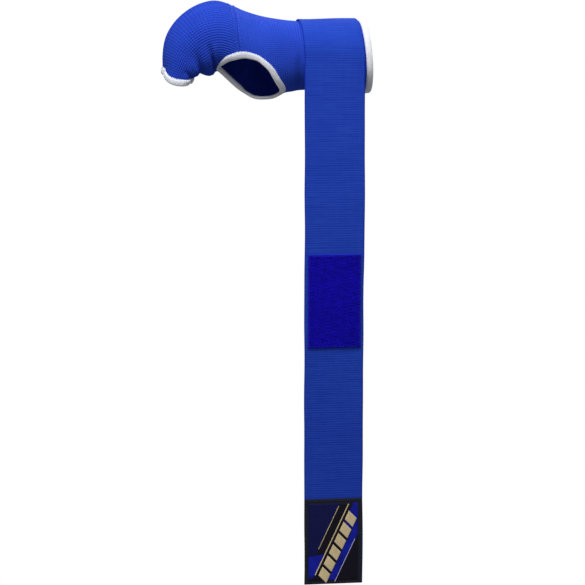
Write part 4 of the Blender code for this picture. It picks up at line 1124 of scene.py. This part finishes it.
def little_loops(count, x0, x1, z0, z1, y, way, seed, height, radius, width, open_end=False):
    """Fibre loops (or hooks, when open_end) standing on a panel: (points, faces) parts."""
    r = np.random.default_rng(seed)
    parts = []
    sides = 4
    ring = np.arange(sides) * 2 * np.pi / sides
    if open_end:
        nx = int(round(math.sqrt(count * (x1 - x0) / (z1 - z0))))
        nz = int(round(count / nx))
        gx, gz = np.meshgrid(np.linspace(x0, x1, nx), np.linspace(z0, z1, nz))
        places = np.stack([gx.ravel() + r.normal(0, 0.05, gx.size), gz.ravel() + r.normal(0, 0.05, gx.size)], 1)
        ways = np.where((np.arange(gx.size) // nx) % 2 == 0, 1.5708, -1.5708) + r.normal(0, 0.12, gx.size)
    else:
        places = np.stack([r.uniform(x0, x1, count), r.uniform(z0, z1, count)], 1)
        ways = r.uniform(0, 2 * np.pi, count)
    for (px, pz), d in zip(places, ways):
        dx, dz = math.cos(d), math.sin(d)
        h, w = height * r.uniform(0.75, 1.2), width * r.uniform(0.7, 1.3)
        lean = (0.0, 0.0) if open_end else (r.normal(0, 0.25), r.normal(0, 0.25))
        if open_end:
            line = [(0, -0.2), (0, 0.45 * h), (0.12 * w, 0.80 * h), (0.50 * w, h), (0.85 * w, 0.82 * h), (0.92 * w, 0.60 * h)]
        else:
            line = [(-0.5 * w, -0.3), (-0.55 * w, 0.45 * h), (0, h), (0.55 * w, 0.45 * h), (0.5 * w, -0.3)]
        line = np.array(line)
        c = np.stack([px + line[:, 0] * dx + lean[0] * line[:, 1], y + way * line[:, 1], pz + line[:, 0] * dz + lean[1] * line[:, 1]], 1)
        tang = np.gradient(c, axis=0)
        tang /= np.linalg.norm(tang, axis=1, keepdims=True)
        flat = np.array([-dz, 0.0, dx])
        up = np.cross(tang, flat)
        pts = (c[:, None] + radius * (np.cos(ring)[None, :, None] * flat + np.sin(ring)[None, :, None] * up[:, None])).reshape(-1, 3)
        f = [[k * sides + m, k * sides + (m + 1) % sides, (k + 1) * sides + (m + 1) % sides, (k + 1) * sides + m]
             for k in range(len(c) - 1) for m in range(sides)]
        f += [[0, 1, 2, 3], [len(pts) - 4 + m for m in range(4)]]
        parts.append((pts, f))
    return parts


x0, x1, z0, z1 = -52.7, -7.7, PANEL_LOW_Z + 0.9, PANEL_TOP_Z - 0.9
base = flat_slab("loop_tape_base", x0, x1, z0, z1, -36.80, -35.95, NAVY_WEAVE, 0.9)
soft = lumps(21, [(7.0, 0.07, 6), (2.4, 0.07, 8), (1.1, 0.07, 10)])
wear = lumps(22, [(9.0, 0.10, 5), (3.0, 0.12, 6)])


def pile_height(x, z):
    """Pile that is crushed along the stitch lines near its edges and a little ragged at its outline."""
    sides_in = np.minimum(x - (x0 + 0.4), (x1 - 0.6) - x) + wear(x, z)
    ends_in = np.minimum(z - z0, z1 - z) + wear(z, x)
    full = smooth(0.0, 1.0, np.minimum(sides_in, ends_in + 0.6))
    return np.clip(soft(x, z), -0.3, 0.32) * full - 0.45 * (1 - full)


tuft = flat_slab("loop_tape_pile", x0 + 0.5, x1 - 0.5, z0 + 0.1, z1 - 0.1, -37.45, -36.7, PILE, 0.42, pile_height, 0.30)
fuzz = merged("loop_tape_fuzz", little_loops(2900, x0 + 1.3, x1 - 1.3, z0 + 0.9, z1 - 0.9, -37.42, -1.0, 31, 0.55, 0.075, 0.85), PILE)
panel = joined("loop_panel_pile", [tuft, fuzz])
piece(panel, "strap_panel_length", ["loop_panel"])
piece(base, "strap_panel_length")
rect, nrm = rectangle(x0 + 1.2, x1 - 1.2, z0 + 1.2, z1 - 1.2, -37.42, -1.0)
dense = lambda p, n, k=40: (np.concatenate([p[i] + (p[(i + 1) % len(p)] - p[i]) * np.linspace(0, 1, k, endpoint=False)[:, None]
                                            for i in range(len(p))]), np.tile(n[:1], (len(p) * k, 1)))
panel_stitch = stitches("loop_panel_stitches", *dense(rect, nrm), NAVY_THREAD, 2.1, 0.7, 0.24, 0.30, closed=True)
piece(panel_stitch, "strap_panel_length", ["loop_panel_stitching"])

# end label: black woven border, blue net field with a plain row of gold bars and slanting lines
top_z = LABEL_Z - 1.3
label = flat_slab("label_cloth", -55.0, -5.6, STRAP_END_Z, top_z, -36.95, -36.0, BLACK_WEAVE, 0.8,
                  lambda x, z: 0.05 * np.sin(x * 0.22 + 1) * np.sin(z * 0.11), 0.45)
piece(label, "strap_end_tab", ["end_label"])
ix0, ix1, iz0, iz1 = -51.6, -9.2, STRAP_END_Z + 3.4, top_z - 4.0
inset = flat_slab("label_net", ix0, ix1, iz0, iz1, -37.35, -36.85, BLUE_NET, 0.7,
                  lambda x, z: 0.05 * np.sin(x * 0.22 + 1) * np.sin(z * 0.11), 0.25)
piece(inset, "strap_end_tab", ["label_inset"])
rect, nrm = rectangle(-53.6, -7.0, STRAP_END_Z + 1.4, top_z - 1.6, -36.98, -1.0)
label_stitch = stitches("label_stitches", *dense(rect, nrm), BLACK_THREAD, 2.0, 0.6, 0.26, 0.28, closed=True)
piece(label_stitch, "strap_end_tab", ["label_stitching"])

A, B = np.array([-44.0, STRAP_END_Z + 7.5]), np.array([-17.0, top_z - 9.0])
lean = (B - A) / np.linalg.norm(B - A)
side = np.array([lean[1], -lean[0]])


def ribbon(name, corners, y_face, y_back, mat, cell=0.5, puff=0.18, ridge=0.55):
    """A raised embroidered patch over the quadrilateral of corners (x, z), with satin ridges across it."""
    c = np.array(corners, float)
    na = max(3, int(np.linalg.norm(c[1] - c[0]) / cell))
    nb = max(3, int(np.linalg.norm(c[3] - c[0]) / cell))
    a, b = np.meshgrid(np.linspace(0, 1, na + 1), np.linspace(0, 1, nb + 1))
    p = ((1 - a) * (1 - b))[..., None] * c[0] + (a * (1 - b))[..., None] * c[1] + (a * b)[..., None] * c[2] + ((1 - a) * b)[..., None] * c[3]
    rise = puff * (4 * a * (1 - a)) ** 0.5 * (4 * b * (1 - b)) ** 0.35
    grain = 0.05 * np.sin(2 * np.pi * b * np.linalg.norm(c[3] - c[0]) / ridge)
    y = y_face - rise - grain * (rise > 0.05)
    top = np.stack([p[..., 0], y, p[..., 1]], -1)
    low = np.stack([p[..., 0], np.full_like(y, y_back), p[..., 1]], -1)
    return grid_solid(name, top, low, mat, p)


blocks = []
reach = np.linalg.norm(B - A)
for k in range(6):
    t0, t1 = reach * (k + 0.06) / 6, reach * (k + 0.84) / 6
    c0, c1 = A + lean * t0, A + lean * t1
    skew = lean * 3.2
    blocks.append(ribbon(f"block_{k}", [c0 + side * 0.5 + skew * 0.1, c0 + side * 9.5 - skew, c1 + side * 9.5 - skew, c1 + side * 0.5 + skew * 0.1],
                         -37.62, -37.2, GOLD))
lines = []
for start, end, off, wide in ((0.0, 1.06, -2.6, 0.85), (0.34, 0.98, -9.4, 0.5)):
    c0, c1 = A + lean * reach * start + side * off, A + lean * reach * end + side * off
    lines.append(ribbon(f"line_{off}", [c0, c0 + side * wide, c1 + side * wide, c1], -37.55, -37.2, GOLD, 0.35, 0.10, 0.5))
c0, c1 = A + lean * reach * 0.02 + side * 15.5, A + lean * reach * 0.66 + side * 15.5
lines.append(ribbon("line_right", [c0, c0 + side * 0.5, c1 + side * 0.5, c1], -37.55, -37.2, PALE, 0.35, 0.10, 0.5))
emblem = joined("label_blocks", blocks + lines)
piece(emblem, "strap_end_tab", ["label_emblem"])
# hook tape on the back of the end
hz = (STRAP_END_Z + LABEL_Z) / 2
z0, z1 = hz - 31.0, hz + 31.0
hook_base = flat_slab("hook_tape_base", x0, x1, z0, z1, -33.42, -34.25, HOOK_WEAVE, 0.9)
hooks = merged("hook_tape_hooks", little_loops(1500, x0 + 2.6, x1 - 2.6, z0 + 2.6, z1 - 2.6, -33.45, 1.0, 41, 0.95, 0.13, 0.75, True), HOOKS)
piece(hook_base, "strap_end_tab", ["hook_pad"])
piece(hooks, "strap_end_tab")
rect, nrm = rectangle(x0 + 1.0, x1 - 1.0, z0 + 1.0, z1 - 1.0, -33.40, 1.0)
hook_stitch = stitches("hook_tape_stitches", *dense(rect, nrm), BLUE_THREAD, 2.1, 0.7, 0.26, 0.28, closed=True)
piece(hook_stitch, "strap_end_tab", ["hook_pad_stitching"])


# ------------------------------------------------------------------ floor, world and lights
floor_points = [(120000 * math.cos(a), 120000 * math.sin(a), -620.0) for a in np.linspace(0, 2 * math.pi, 96, endpoint=False)]
floor_mat = bpy.data.materials.new("pale_floor")
floor_mat.use_nodes = True
tree = floor_mat.node_tree
tree.nodes.clear()
glow, out = tree.nodes.new("ShaderNodeEmission"), tree.nodes.new("ShaderNodeOutputMaterial")
glow.inputs[0].default_value, glow.inputs[1].default_value = (1, 1, 1, 1), 1.0
tree.links.new(glow.outputs[0], out.inputs[0])
floor = make("floor", floor_points, [list(range(96))], None, False, [floor_mat])
floor.visible_diffuse = floor.visible_glossy = floor.visible_shadow = floor.visible_transmission = False

world = bpy.data.worlds.new("studio")
bpy.context.scene.world = world
world.use_nodes = True
wt = world.node_tree
wt.nodes.clear()
coord, parts = wt.nodes.new("ShaderNodeTexCoord"), wt.nodes.new("ShaderNodeSeparateXYZ")
wt.links.new(coord.outputs["Generated"], parts.inputs[0])
span = wt.nodes.new("ShaderNodeMapRange")
span.interpolation_type = "SMOOTHSTEP"
for k, v in ((1, -0.75), (2, 0.80), (3, WORLD_LOW), (4, WORLD_HIGH)):
    span.inputs[k].default_value = v
wt.links.new(parts.outputs[2], span.inputs[0])
lit, seen = wt.nodes.new("ShaderNodeBackground"), wt.nodes.new("ShaderNodeBackground")
wt.links.new(span.outputs[0], lit.inputs[1])
lit.inputs[0].default_value, seen.inputs[0].default_value = (1.0, 1.0, 1.0, 1), (1, 1, 1, 1)
path, choose, wout = wt.nodes.new("ShaderNodeLightPath"), wt.nodes.new("ShaderNodeMixShader"), wt.nodes.new("ShaderNodeOutputWorld")
wt.links.new(path.outputs["Is Camera Ray"], choose.inputs[0])
wt.links.new(lit.outputs[0], choose.inputs[1])
wt.links.new(seen.outputs[0], choose.inputs[2])
wt.links.new(choose.outputs[0], wout.inputs[0])


def soft_light(name, place, at, size, watts):
    data = bpy.data.lights.new(name, "AREA")
    data.shape, data.size, data.energy = "DISK", size, watts
    obj = bpy.data.objects.new(name, data)
    obj.location = place
    bpy.context.scene.collection.objects.link(obj)
    look(obj, at)
    return obj


soft_light("key", (-0.24, -0.54, 0.70), (-0.06, -0.01, -0.06), 0.55, KEY_WATTS)
soft_light("rim", (0.35, 0.75, 0.70), (-0.06, 0.0, -0.1), 0.7, RIM_WATTS)
